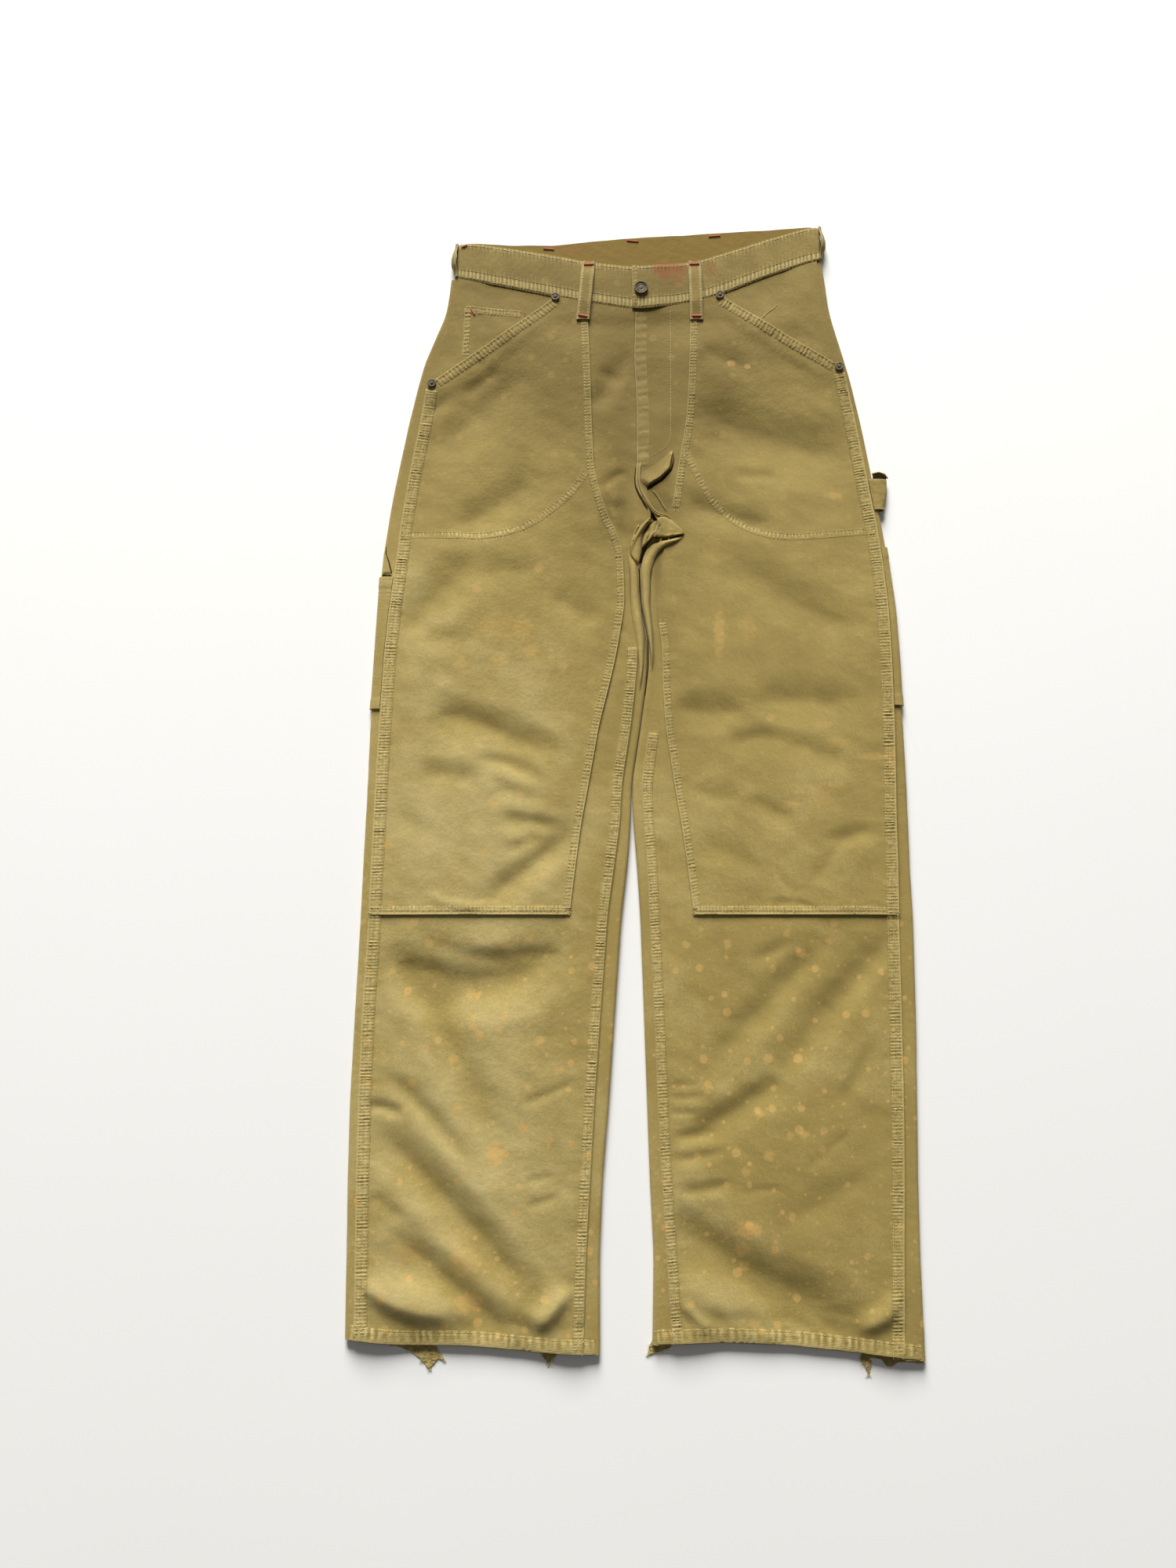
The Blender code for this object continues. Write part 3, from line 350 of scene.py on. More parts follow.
def curve_points(start, bend, end, count):
    """Points along a quadratic curve."""
    t = np.linspace(0.0, 1.0, count)[:, None]
    start, bend, end = (np.array(p, dtype=float) for p in (start, bend, end))
    return (1 - t) ** 2 * start + 2 * t * (1 - t) * bend + t * t * end


def folds_at(x, y):
    """Height that the folds add at arrays of points."""
    total = np.zeros(np.shape(x))
    for fold in FOLDS:
        crest = curve_points((fold.x0, fold.y0), (fold.x1, fold.y1), (fold.x2, fold.y2), 33)
        reach = max(fold.left, fold.right)
        near = ((x > crest[:, 0].min() - reach) & (x < crest[:, 0].max() + reach)
                & (y > crest[:, 1].min() - reach) & (y < crest[:, 1].max() + reach))
        if not near.any():
            continue
        away = np.stack([x[near], y[near]], axis=-1)[:, None, :] - crest[None, :, :]
        gaps = np.hypot(away[..., 0], away[..., 1])
        index = gaps.argmin(axis=1)
        nearest = gaps[np.arange(len(index)), index]
        heading = np.gradient(crest, axis=0)[index]
        offset = away[np.arange(len(index)), index]
        turned_left = heading[:, 0] * offset[:, 1] - heading[:, 1] * offset[:, 0] > 0
        width = np.where(turned_left, fold.left, fold.right)
        share = index / (len(crest) - 1)
        fade = smooth(share * 3.0 + 0.08) * smooth((1.0 - share) * 3.0 + 0.08)
        blunt = FOLD_BLUNT * width
        away = (np.hypot(nearest, blunt) - blunt) / (width * (math.hypot(1.0, FOLD_BLUNT) - FOLD_BLUNT))
        total[near] += fold.height * fade * (1.0 - np.minimum(away, 1.0)) ** FOLD_SHARPNESS
    return total * cloth().fold_strength


class Leg:
    """Outline and surface of one leg, with the half of the seat above it."""

    def __init__(self, name, sections, side):
        self.name = name
        self.side = side
        self.slash = SLASHES[name]
        self.lines = {column: line_of(sections, "y", column) for column in Section._fields[1:]}

    def x(self, y, column):
        """Place of one of the leg's lines at y."""
        return np.interp(y, *self.lines[column])

    def row_y(self, station, x, waist="front_low"):
        """Height up the garment of a row at x."""
        rise = smooth((station - CROTCH) / (WAIST - CROTCH))
        drop = smooth((KNEE - station) / (KNEE - HEM))
        return station + rise * (waist_y(x, waist) - WAIST) + drop * (hem_y(x) - HEM)

    def slash_point(self, station):
        """Point of the slash's edge on a row."""
        share = (station - SLASH_ROW) / (WAIST - SLASH_ROW)
        return (mix(self.slash.low_x, self.slash.top_x, share),
                mix(self.slash.low_y, self.slash.top_y, share) - SLASH_BOW * math.sin(math.pi * share))

    def from_slash(self, x, y):
        """Distance below the slash, towards the hem."""
        run = self.slash.top_x - self.slash.low_x
        share = np.clip((x - self.slash.low_x) / run, 0.0, 1.0)
        edge = mix(self.slash.low_y, self.slash.top_y, share) - SLASH_BOW * np.sin(math.pi * share)
        slope = math.hypot(run, self.slash.top_y - self.slash.low_y)
        return (edge - y) * abs(run) / slope, share

    def inner_face(self, x, y):
        """Height of the front's inner face, with its folds."""
        seam_height = 2 * ROLL + layer()
        from_seam = np.abs(x - self.x(y, "seam"))
        from_inseam = np.abs(x - self.x(y, "inseam"))
        inner_rise = mix(seam_height, FLY_HEIGHT, smooth((y - FLY_FOOT) / FLY_RAMP)) - SINK
        rise_out = (seam_height - SINK) * (1 - smooth((from_seam - FELL_WIDTH) / SHOULDER))
        rise_in = inner_rise * (1 - smooth((from_inseam - FELL_WIDTH) / SHOULDER))
        height = SINK + np.maximum(rise_out, rise_in)
        clear = 2 * layer() + BAND_THICKNESS - thick() + 0.3
        height = np.maximum(height, mix(clear, SINK, smooth((waist_y(x, "front_low") - y) / SHOULDER)))
        keep = smooth(from_seam / FOLD_MARGIN) * np.where(y < CROTCH, smooth(from_inseam / FOLD_MARGIN), 1.0)
        from_waist = waist_y(x, "front_low") - y
        keep = keep * smooth(from_waist / FOLD_MARGIN) * smooth((y - hem_y(x) + 8.0) / 14.0)
        soft = 0.8 * ripple(x, y, 46.0) + 0.5 * ripple(x + 0.5 * y, y, 17.0, 3.0)
        soft = soft + 0.14 * ripple(x - 0.4 * y, y, 6.0, 8.0)
        drag = 0.35 * np.exp(-((from_seam - FELL_WIDTH) / 10.0) ** 2) * ripple(x * 0.25, y, 5.5, 7.0)
        drag = drag + 0.35 * np.exp(-((from_inseam - FELL_WIDTH) / 9.0) ** 2) * ripple(x * 0.25, y, 5.5, 9.0)
        above = y - hem_y(x)
        swell = SWELL * smooth(from_seam / SWELL_MARGIN) * smooth(from_inseam / SWELL_MARGIN)
        swell = swell * smooth(from_waist / SWELL_MARGIN) * smooth((above + 12.0) / SWELL_MARGIN)
        rope = np.exp(-((above - 21.0) / 7.0) ** 2) * (-0.9 + 1.5 * ripple(x + 0.6 * y, y * 0.4, 13.0, 12.0))
        height = height + swell + keep * (folds_at(x, y) + soft) + drag * (y < CROTCH) + rope
        lowest = layer() + 0.4
        return lowest + 0.5 * np.logaddexp(0.0, (height - lowest) / 0.5)

    def lift(self, x, y):
        """How much a facing under the slash raises the front, and how far its mouth gapes."""
        below, share = self.from_slash(x, y)
        on_slash = smooth((below + 6.0) / 4.0) * (1 - smooth((below - FELL_WIDTH) / 14.0))
        on_slash = on_slash * smooth((y - self.slash.low_y + 26.0) / 22.0)
        gape = 0.9 * np.sin(math.pi * share) * np.exp(-(below / 9.0) ** 2)
        return on_slash * (layer() + gape)


RIGHT = Leg("R", RIGHT_LEG, -1)
LEFT = Leg("L", LEFT_LEG, 1)
LEGS = (RIGHT, LEFT)


SHARP = 60.0   # edges that are bent by more degrees than this stay sharp


def finish_object(name, mesh, material, sharp=SHARP):
    """Turn a bmesh into an object in the scene."""
    data = bpy.data.meshes.new(name)
    mesh.to_mesh(data)
    mesh.free()
    return show(name, data, material, sharp)


def show(name, data, material, sharp=SHARP):
    """Put a mesh in the scene, smooth but for its sharp edges."""
    data.shade_smooth()
    data.set_sharp_from_angle(angle=math.radians(sharp))
    item = bpy.data.objects.new(name, data)
    item.data.materials.append(material)
    bpy.context.scene.collection.objects.link(item)
    return item


def set_share(data, name, values):
    """Store one number for each of a mesh's points."""
    data.attributes.new(name, "FLOAT", "POINT").data.foreach_set("value", values)


def wall(name, inner, outer, material, relief=None, wear=None, inside=None):
    """Make one closed wall between two grids of points in millimetres, rows by columns by 3.

    relief, wear and inside are grids of shares that the materials read; low relief turns the cloth darker,
    which is painted shade.
    """
    rows, columns = inner.shape[:2]
    mesh = bmesh.new()
    bmesh.ops.create_grid(mesh, x_segments=columns - 1, y_segments=rows - 1, size=1.0)
    mesh.verts.ensure_lookup_table()
    place = mesh.verts.layers.int.new("place")
    for index, vert in enumerate(mesh.verts):
        vert[place] = index
    below = len(mesh.verts)
    bmesh.ops.extrude_face_region(mesh, geom=mesh.faces[:])
    mesh.verts.index_update()
    mesh.verts.ensure_lookup_table()
    spots = np.array([vert[place] for vert in mesh.verts])
    mesh.verts.layers.int.remove(place)
    data = bpy.data.meshes.new(name)
    mesh.to_mesh(data)
    mesh.free()
    outside = np.arange(len(spots)) >= below
    grids = np.where(outside[:, None], outer.reshape(-1, 3)[spots], inner.reshape(-1, 3)[spots])
    data.vertices.foreach_set("co", ((grids - np.array(CENTRE)) * MM).ravel())
    for label, grid in (("relief", relief), ("wear", wear)):
        values = np.zeros(len(spots)) if grid is None else np.ravel(grid)[spots] * outside
        set_share(data, label, values)
    x, y = grids[:, 0], grids[:, 1]
    # tone carries the broad areas of fading and of painted light and shade
    tone = sum(blot.strength * np.exp(-((x - blot.x) / blot.reach_x) ** 2
                                      - ((y - blot.y) / blot.reach_y) ** 2) for blot in FADING_AND_PAINTED_LIGHT)
    set_share(data, "tone", tone)
    turned_in = np.zeros(len(spots)) if inside is None else np.ravel(inside)[spots] * ~outside
    set_share(data, "inside", turned_in)
    steps = np.linalg.norm(np.diff(outer, axis=1), axis=2)
    across = np.concatenate([np.zeros((rows, 1)), np.cumsum(steps, axis=1)], axis=1)
    along = outer[..., 1]
    flat = np.stack([across.ravel()[spots], along.ravel()[spots]], axis=1) * MM
    corners = np.zeros(len(data.loops), dtype=np.int32)
    data.loops.foreach_get("vertex_index", corners)
    data.uv_layers.new(name="weave").data.foreach_set("uv", flat[corners].ravel())
    work = bmesh.new()
    work.from_mesh(data)
    bmesh.ops.recalc_face_normals(work, faces=work.faces)
    if work.calc_volume(signed=True) < 0.0:
        bmesh.ops.reverse_faces(work, faces=work.faces)
    work.to_mesh(data)
    work.free()
    return show(name, data, material)


def raised(points, height):
    """Join a grid of (x, y) points and a grid of heights."""
    return np.concatenate([points, np.asarray(height)[..., None]], axis=-1)


# The materials turn low relief darker, which is painted shade, and high relief paler, as wear.
def relief_of(height, reach):
    """How far each point of a grid stands above or below its surroundings, from -1 to 1."""
    level = np.apply_along_axis(soften, 0, height, reach)
    level = np.apply_along_axis(soften, 1, level, reach)
    return np.clip((height - level) / 2.2, -1.0, 1.0)


def area_of(points):
    """Flat area of a grid of (x, y) points, in square metres."""
    across = points[1:, 1:] - points[:-1, :-1]
    down = points[:-1, 1:] - points[1:, :-1]
    return float(np.abs(across[..., 0] * down[..., 1] - across[..., 1] * down[..., 0]).sum() / 2) * MM * MM


Cut = namedtuple("Cut", "item flat area rests_on")
CUTS = []


def declare(item, points, node, rests_on=()):
    """Tie a shell of laid cloth to the body, hide the solid it stands for, and note its cut."""
    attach(item, BODY)
    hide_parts(node)
    size = (points.reshape(-1, 2).max(axis=0) - points.reshape(-1, 2).min(axis=0)) * MM
    area = min(area_of(points), 0.999 * float(size[0] * size[1]))
    CUTS.append(Cut(item, (float(size[0]), float(size[1])), area, list(rests_on)))


def fit(item):
    """Tie a small piece to the body."""
    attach(item, BODY)
    return item


# Steps across a front: beside the outseam, to the double front's edge, to the inseam and beside it
FRONT_STEPS = (4, 44, 5, 5)


def front_row(leg, station):
    """Points (x, y) of one row of a front panel, from the outseam or slash to the inseam."""
    on_slash = station >= SLASH_ROW
    y_side = leg.row_y(station, leg.x(station, "seam"))
    start = leg.slash_point(station) if on_slash else (leg.x(y_side, "seam"), y_side)
    overlay = leg.x(leg.row_y(station, leg.x(station, "overlay")), "overlay")
    inseam = leg.x(leg.row_y(station, leg.x(station, "inseam")), "inseam") + leg.side * 0.15
    fell = start[0] - leg.side * min(FELL_WIDTH, abs(overlay - start[0]) * 0.3)
    inner_fell = inseam + leg.side * min(FELL_WIDTH, abs(overlay - inseam) * 0.4)
    stops = [start[0], fell, overlay, inner_fell, inseam]
    xs = [np.array([start[0]])]
    for steps, low, high in zip(FRONT_STEPS, stops, stops[1:]):
        xs.append(np.linspace(low, high, steps + 1)[1:])
    x = np.concatenate(xs)
    y = leg.row_y(station, x)
    if on_slash:
        share = np.abs(x - start[0]) / abs(overlay - start[0])
        y = y + (start[1] - y[0]) * (1 - smooth(share))
    return np.stack([x, y], axis=-1)


OVERLAY_COLUMNS = sum(FRONT_STEPS[:2]) + 1
FRONT_PITCH = 3.2   # between the rows of a front's grid


def front_grid(leg, low, pitch):
    """Grid of points of a front, from a row to the waistband."""
    stations = np.unique(np.concatenate([np.linspace(low, WAIST, int((WAIST - low) / pitch)), [SLASH_ROW]]))
    return np.stack([front_row(leg, station) for station in stations])


def lay(kind, leg, points, below, material, relief, under):
    """Lay one sheet of a front on the one under it."""
    item = wall("cloth_" + kind + leg.name, raised(points, below), raised(points, below + thick()), material,
                relief=relief)
    declare(item, points, kind + leg.name, ["cloth_" + under + leg.name])


def make_front(leg, material):
    """Front panel of one leg."""
    points = front_grid(leg, HEM, FRONT_PITCH)
    x, y = points[..., 0], points[..., 1]
    below = leg.inner_face(x, y) + leg.lift(x, y)
    lay("front_panel_", leg, points, below, material, relief_of(below, 6), "back_panel_")


def make_double_front(leg, material):
    """Second layer on the front panel of one leg."""
    points = front_grid(leg, KNEE, FRONT_PITCH)[:, :OVERLAY_COLUMNS]
    x, y = points[..., 0], points[..., 1]
    below = leg.inner_face(x, y) + leg.lift(x, y) + layer()
    lay("double_front_", leg, points, below, material, relief_of(below, 6), "front_panel_")


def make_facing(leg, material):
    """Cloth seen in the pocket's mouth."""
    rows = []
    for station in np.linspace(SLASH_ROW, WAIST, 44):
        slash = leg.slash_point(station)
        side_y = leg.row_y(station, leg.x(station, "seam"))
        seam = leg.x(side_y, "seam")
        x = np.linspace(seam, slash[0] - leg.side * 9.0, 34)
        shift = slash[1] - leg.row_y(station, slash[0])
        share = np.clip((x - seam) / (slash[0] - seam), 0.0, 1.0)
        rows.append(np.stack([x, leg.row_y(station, x) + shift * share], axis=-1))
    points = np.stack(rows)
    x, y = points[..., 0], points[..., 1]
    below = leg.inner_face(x, y)
    lay("pocket_facing_", leg, points, below, material, relief_of(below, 4) - 0.15, "back_panel_")


def turned_edge(edge, end, side, turn, length, steps):
    """Middle line of cloth that turns up from the floor, and its outward directions."""
    half = thick() / 2
    if turn < 0.05:
        along = np.linspace(edge - side * length, edge, steps + 4)
        level = (np.full_like(along, half), np.zeros_like(along), -np.ones_like(along))
        return np.stack([along, *level], axis=-1)
    radius = length / turn
    foot = edge - side * (radius + half) * math.sin(min(turn, math.pi / 2))
    angle = np.linspace(0.0, turn, steps + 1)
    line = np.stack([foot + side * radius * np.sin(angle), half + radius * (1 - np.cos(angle)),
                     side * np.sin(angle), -np.cos(angle)], axis=-1)
    last = line[-1]
    if turn > 3.0:
        flat = np.linspace(last[0], end, 4)[1:]
        tail = np.stack([flat, np.full(3, last[1]), np.zeros(3), np.ones(3)], axis=-1)
        return np.concatenate([line, tail])
    line = np.stack([np.interp(np.linspace(0, steps, steps + 4), np.arange(steps + 1), line[:, k])
                     for k in range(4)], axis=-1)
    return line


def make_back(leg, material):
    """Back panel of one leg: on the floor, and turned over both edges to the front's seams."""
    full = math.pi * ROLL
    half = thick() / 2
    rows_in, rows_out, flat, shares = [], [], [], []
    for station in np.linspace(HEM, WAIST, 176):
        y_out = float(leg.row_y(station, leg.x(station, "edge"), "back_low"))
        y_in = float(leg.row_y(station, leg.x(station, "inner"), "back_low"))
        y_side = y_out - 2.0 * smooth((station - WAIST + 8.0) / 8.0)
        sway = 0.5 * noise.noise(Vector((station / 30.0, leg.side * 5.0, 1.0)))
        edge = leg.x(y_out, "edge") - leg.side * abs(sway)
        outside = turned_edge(edge, leg.x(y_out, "seam") - leg.side * LAP, leg.side, math.pi, full, 9)
        opened = float(smooth((station - CROTCH) / 60.0))
        turn = math.pi if opened == 0.0 else math.pi * 0.5 * (1 - opened)
        length = full if opened == 0.0 else full * 0.75
        inside = turned_edge(leg.x(y_in, "inner") + leg.side * 0.15, leg.x(y_in, "inseam") + leg.side * LAP,
                             -leg.side, turn, length, 9)
        floor_x = np.linspace(outside[0, 0], inside[0, 0], 12)[1:-1]
        floor = np.stack([floor_x, np.full(10, half), np.zeros(10), -np.ones(10)], axis=-1)
        line = np.concatenate([outside[::-1], floor, inside])
        y = np.concatenate([np.full(len(outside), y_side), leg.row_y(station, floor_x, "back_low"),
                            np.full(len(inside), y_in)])
        for rows, out in ((rows_out, half), (rows_in, -half)):
            rows.append(np.stack([line[:, 0] + line[:, 2] * out, y, line[:, 1] + line[:, 3] * out], axis=-1))
        steps = np.hypot(np.diff(line[:, 0]), np.diff(line[:, 1]))
        flat.append(np.stack([np.concatenate([[0.0], np.cumsum(steps)]), y], axis=-1))
        shares.append(0.5 * ripple(line[:, 0], y, 24.0, 5.0))
    inner, outer = np.stack(rows_in), np.stack(rows_out)
    item = wall("cloth_back_panel_" + leg.name, inner, outer, material, relief=np.stack(shares),
                inside=np.ones(inner.shape[:2]))
    declare(item, np.stack(flat), "back_panel_" + leg.name)


def band_path(step=1.1):
    """Stations round the waistband: x, height of its middle, outward x and z, and front share."""
    low, high = BAND_ENDS
    left_end, right_end = BAND_LAP
    back = layer() + BAND_THICKNESS / 2
    radius = (BAND_SIDE - back) / 2
    reach = radius + BAND_THICKNESS / 2

    def front_height(x):
        side = np.maximum(smooth(1 - (x - low - reach) / BAND_SIDE_REACH),
                          smooth(1 - (high - reach - x) / BAND_SIDE_REACH))
        return mix(BAND_FRONT, BAND_SIDE, side)

    def run(first, last):
        return np.linspace(first, last, max(2, int(abs(last - first) / step)))

    def stretch(x, z, nx, nz, share):
        return np.stack(np.broadcast_arrays(x, z, nx, nz, share), axis=-1)

    angle = np.linspace(0.0, math.pi, 12)[1:-1]
    part = angle / math.pi
    first = run(right_end, low + reach)
    behind = run(low + reach, high - reach)
    last = run(high - reach, left_end)
    climb = smooth((right_end + BAND_RAMP + 4.0 - last) / BAND_RAMP)
    return np.concatenate([
        stretch(first, front_height(first), 0.0, 1.0, 1.0),
        stretch(low + reach - radius * np.sin(angle), back + radius * (1 + np.cos(angle)),
                -np.sin(angle), np.cos(angle), 1.0 - part),
        stretch(behind, back, 0.0, -1.0, 0.0),
        stretch(high - reach + radius * np.sin(angle), back + radius * (1 - np.cos(angle)),
                np.sin(angle), -np.cos(angle), part),
        stretch(last, front_height(last) + climb * (BAND_THICKNESS + 0.3), 0.0, 1.0, 1.0),
    ])


def band_edges(x, share):
    """Lower and upper edge of the waistband."""
    from_fold = np.minimum(x - BAND_ENDS[0], BAND_ENDS[1] - x)
    lapped = np.where(share == 0.0, smooth((from_fold - 7.5) / 15.0), 0.0)
    butted = mix(waist_y(x, "back_low"), waist_y(x, "front_low"), share)
    low = mix(butted + 0.5, butted - LAP, lapped)
    top = mix(waist_y(x, "back_top"), waist_y(x, "front_top"), share)
    return low, top


# Across the waistband, from its lower edge: place, how far it bulges and how far it puckers
BAND_SECTION = (
    (0.0, -0.5, 0.2), (0.03, -0.05, 0.7), (0.07, 0.25, 1.0), (0.11, 0.1, 1.0), (0.15, 0.3, 1.0),
    (0.19, 0.05, 0.8), (0.24, 0.1, 0.3), (0.34, 0.15, 0.05), (0.48, 0.2, 0.0), (0.62, 0.2, 0.0),
    (0.76, 0.15, 0.05), (0.86, 0.05, 0.3), (0.91, 0.2, 0.6), (0.95, 0.1, 0.7), (1.0, -0.5, 0.2),
)


def make_waistband(material):
    """Waistband: one strip right round, lapped at the centre front."""
    path = band_path()
    x, z, nx, nz, share = (path[:, k] for k in range(5))
    low, top = band_edges(x, share)
    top = top + 0.5 * ripple(x, share * 40.0, 22.0, 2.0)
    along = np.concatenate([[0.0], np.cumsum(np.hypot(np.diff(x), np.diff(z)))])
    spread, plump, rung = np.array(BAND_SECTION).T
    y = mix(low[:, None], top[:, None], spread[None, :])
    wave = np.sin(along * 2 * math.pi / 3.9 + 2.0 * ripple(along, along * 0, 9.0, 4.0))[:, None]
    uneven = 0.6 + 0.6 * ripple(along, along * 0, 6.0, 6.0)[:, None]
    wide_x = np.repeat(x[:, None], len(spread), 1)
    broad = 0.35 * ripple(wide_x, y, 18.0, 8.0)
    swell = plump[None, :] + rung[None, :] * wave * uneven * 0.8
    swell = swell + broad * np.minimum(1.0, rung[None, :] + 0.6)
    half = BAND_THICKNESS / 2 - 0.2
    on_floor = (share == 0.0)[:, None]
    swell = np.where(on_floor, np.minimum(swell, 0.0), swell)
    dent = 0.18 * ripple(wide_x, y, 12.0, 11.0)
    inner, outer = (np.stack([x[:, None] + nx[:, None] * out, y, z[:, None] + nz[:, None] * out], axis=-1)
                    for out in (-(half + dent), half + swell))
    # Relief: paler on the puckers and darker between them, which is painted shade
    item = wall("cloth_waistband", inner, outer, material, relief=np.clip(swell * 1.3, -1.0, 1.0),
                wear=rung[None, :] * (0.55 + 0.5 * wave),
                inside=np.repeat(1.0 - share[:, None], len(spread), 1))
    flat = np.stack([np.repeat(along[:, None], len(spread), 1), y], axis=-1)
    declare(item, flat, "waistband")


class Ground:
    """The cloth that sewing lies on: heights and slopes found by looking straight down."""

    def __init__(self, items):
        self.trees = []
        for item in items:
            data = item.data
            data.calc_loop_triangles()
            self.trees.append(BVHTree.FromPolygons(
                [v.co for v in data.vertices], [t.vertices for t in data.loop_triangles]))

    def at(self, x, y):
        """Height in millimetres and upward direction of the topmost cloth at a point."""
        origin = (Vector((x, y, 90.0)) - CENTRE) * MM
        best, up = 0.0, Vector((0, 0, 1))
        for tree in self.trees:
            place, normal, _, _ = tree.ray_cast(origin, Vector((0, 0, -1)))
            if place is not None and place.z / MM > best:
                best, up = place.z / MM, normal if normal.z > 0 else -normal
        return best, up


def resample(path, pitch):
    """Walk a path in equal steps: points and unit directions."""
    path = np.asarray(path, dtype=float)
    lengths = np.concatenate([[0.0], np.cumsum(np.hypot(*np.diff(path, axis=0).T))])
    at = np.linspace(0.0, lengths[-1], max(2, int(lengths[-1] / pitch) + 1))
    points = np.stack([np.interp(at, lengths, path[:, k]) for k in range(2)], axis=-1)
    heading = np.gradient(points, axis=0)
    return points, heading / np.linalg.norm(heading, axis=1)[:, None], at


def left_of(points, heading, offset):
    """Points moved to the left of a path."""
    return points + np.stack([-heading[:, 1], heading[:, 0]], axis=-1) * offset


# A raised band on the cloth to the left of a path, and how far in its rows of sewing run; a profile
# gives its cross-section: place in shares of the width, rise, and how much it puckers
Band = namedtuple("Band", "name path width rise pucker pitch profile rows")
Profile = namedtuple("Profile", "share lift pucker")
FELLED = tuple(Profile(*row) for row in (
    (0.0, -0.4, 0.0), (0.012, 0.85, 0.1), (0.09, 1.0, 0.2), (0.16, 0.45, 0.8), (0.25, 0.95, 1.0),
    (0.37, 0.95, 1.0), (0.46, 0.45, 0.8), (0.55, 0.95, 1.0), (0.69, 0.95, 1.0), (0.80, 0.4, 0.8),
    (0.90, 0.55, 0.5), (1.0, -0.4, 0.0),
))
TURNED = tuple(Profile(*row) for row in (
    (0.0, -0.4, 0.0), (0.02, 0.95, 0.0), (0.11, 1.25, 0.15), (0.18, 0.8, 0.6), (0.26, 0.45, 1.0),
    (0.34, 0.8, 0.8), (0.50, 0.9, 0.45), (0.66, 0.8, 0.8), (0.77, 0.4, 1.0), (0.87, 0.5, 0.7),
    (1.0, -0.4, 0.2),
))
HEMMED = tuple(Profile(*row) for row in (
    (0.0, -0.4, 0.0), (0.02, 0.8, 0.2), (0.12, 1.0, 0.4), (0.32, 0.85, 0.9), (0.55, 0.8, 1.0),
    (0.76, 0.75, 1.0), (0.86, 0.3, 0.9), (0.93, 0.5, 0.7), (1.0, -0.4, 0.0),
))
FLAT = tuple(Profile(*row) for row in (
    (0.0, -0.3, 0.0), (0.1, 0.3, 0.6), (0.3, 1.0, 1.0), (0.5, 0.8, 1.0), (0.7, 1.0, 1.0),
    (0.9, 0.3, 0.6), (1.0, -0.3, 0.0),
))


def make_band(band, ground, material):
    """Raised, puckered band of a seam or turned edge, on the cloth to the left of its path."""
    points, heading, at = resample(band.path, 0.95)
    seed = steady_number(band.name)
    drift = 2.6 * ripple(at, at * 0, 13.0, seed) + 1.4 * ripple(at, at * 0, 5.0, seed + 4.0)
    uneven = 0.8 + 1.0 * ripple(at, at * 0, 7.0, seed + 2.0)
    ends = smooth(np.minimum(at, at[-1] - at) / 4.0)
    grid_in, grid_out, lifts, wears = [], [], [], []
    for profile in band.profile:
        line = left_of(points, heading, band.width * profile.share)
        base = soften(np.array([ground.at(px, py)[0] for px, py in line]), 2)
        wave = np.sin(at * 2 * math.pi / band.pitch + drift + 1.3 * profile.share) * uneven
        knots = ripple(line[:, 0], line[:, 1], 2.6, seed) * min(1.0, profile.pucker * 2.0)
        wave = wave + 0.9 * knots
        swell = band.rise * profile.lift + band.pucker * profile.pucker * wave
        grid_out.append(raised(line, base + mix(-0.3, swell, ends)))
        grid_in.append(raised(line, base - 0.4))
        # Relief: paler on the band's ridges and puckers, darker in its grooves and between puckers, which is
        # painted shade
        lifts.append(profile.pucker * wave * 0.55 + (profile.lift - 0.75) * 0.9)
        wears.append(0.55 * (profile.share < 0.1) + 0.18 + 0.22 * profile.pucker * wave)
    item = wall("seam_" + band.name, np.stack(grid_in, axis=1), np.stack(grid_out, axis=1), material,
                relief=np.clip(np.stack(lifts, axis=1), -1, 1), wear=np.clip(np.stack(wears, axis=1), 0, 1))
    return fit(item)


def steady_number(name):
    """A number that is always the same for a name, to start its noise from."""
    return sum((index + 1) * ord(letter) for index, letter in enumerate(name)) % 97 * 1.7


STITCH_SHARE = 0.74   # length of a stitch, in shares of the stitch pitch
STITCH_WIDTH = 0.62
STITCH_HEIGHT = 0.5


def stitch_shape(length, width, height):
    """Corners and faces of one stitch, a short rounded bar, made once and repeated."""
    mesh = bmesh.new()
    bmesh.ops.create_cube(mesh, size=1.0)
    bmesh.ops.scale(mesh, vec=(length, width, height), verts=mesh.verts)
    for vert in mesh.verts:
        if vert.co.z > 0:
            vert.co.y *= 0.45
            vert.co.x *= 0.8
    corners = np.array([vert.co for vert in mesh.verts])
    faces = np.array([[vert.index for vert in face.verts] for face in mesh.faces])
    mesh.free()
    return corners, faces


def sew(name, runs, ground, material):
    """Lay stitches along runs of (path, offset) and join them as one piece."""
    pitch = cloth().stitch_pitch / MM
    corners, faces = stitch_shape(pitch * STITCH_SHARE, STITCH_WIDTH, STITCH_HEIGHT)
    verts, polygons = [], []
    for path, offset in runs:
        points, heading, _ = resample(path, pitch)
        line = left_of(points, heading, offset)
        for (px, py), (hx, hy) in zip(line, heading):
            z, up = ground.at(px, py)
            if z <= 0.5:
                continue
            along = Vector((hx, hy, 0.0))
            along = (along - up * along.dot(up)).normalized()
            turn = np.array(Matrix((along, up.cross(along), up)).transposed())
            place = np.array((px, py, z + STITCH_HEIGHT * 0.18))
            polygons.append(faces + 8 * len(verts))
            verts.append(corners @ turn.T + place)
    data = bpy.data.meshes.new(name)
    data.from_pydata(((np.concatenate(verts) - np.array(CENTRE)) * MM).tolist(), [],
                     np.concatenate(polygons).tolist())
    return fit(show(name, data, material, 40.0))


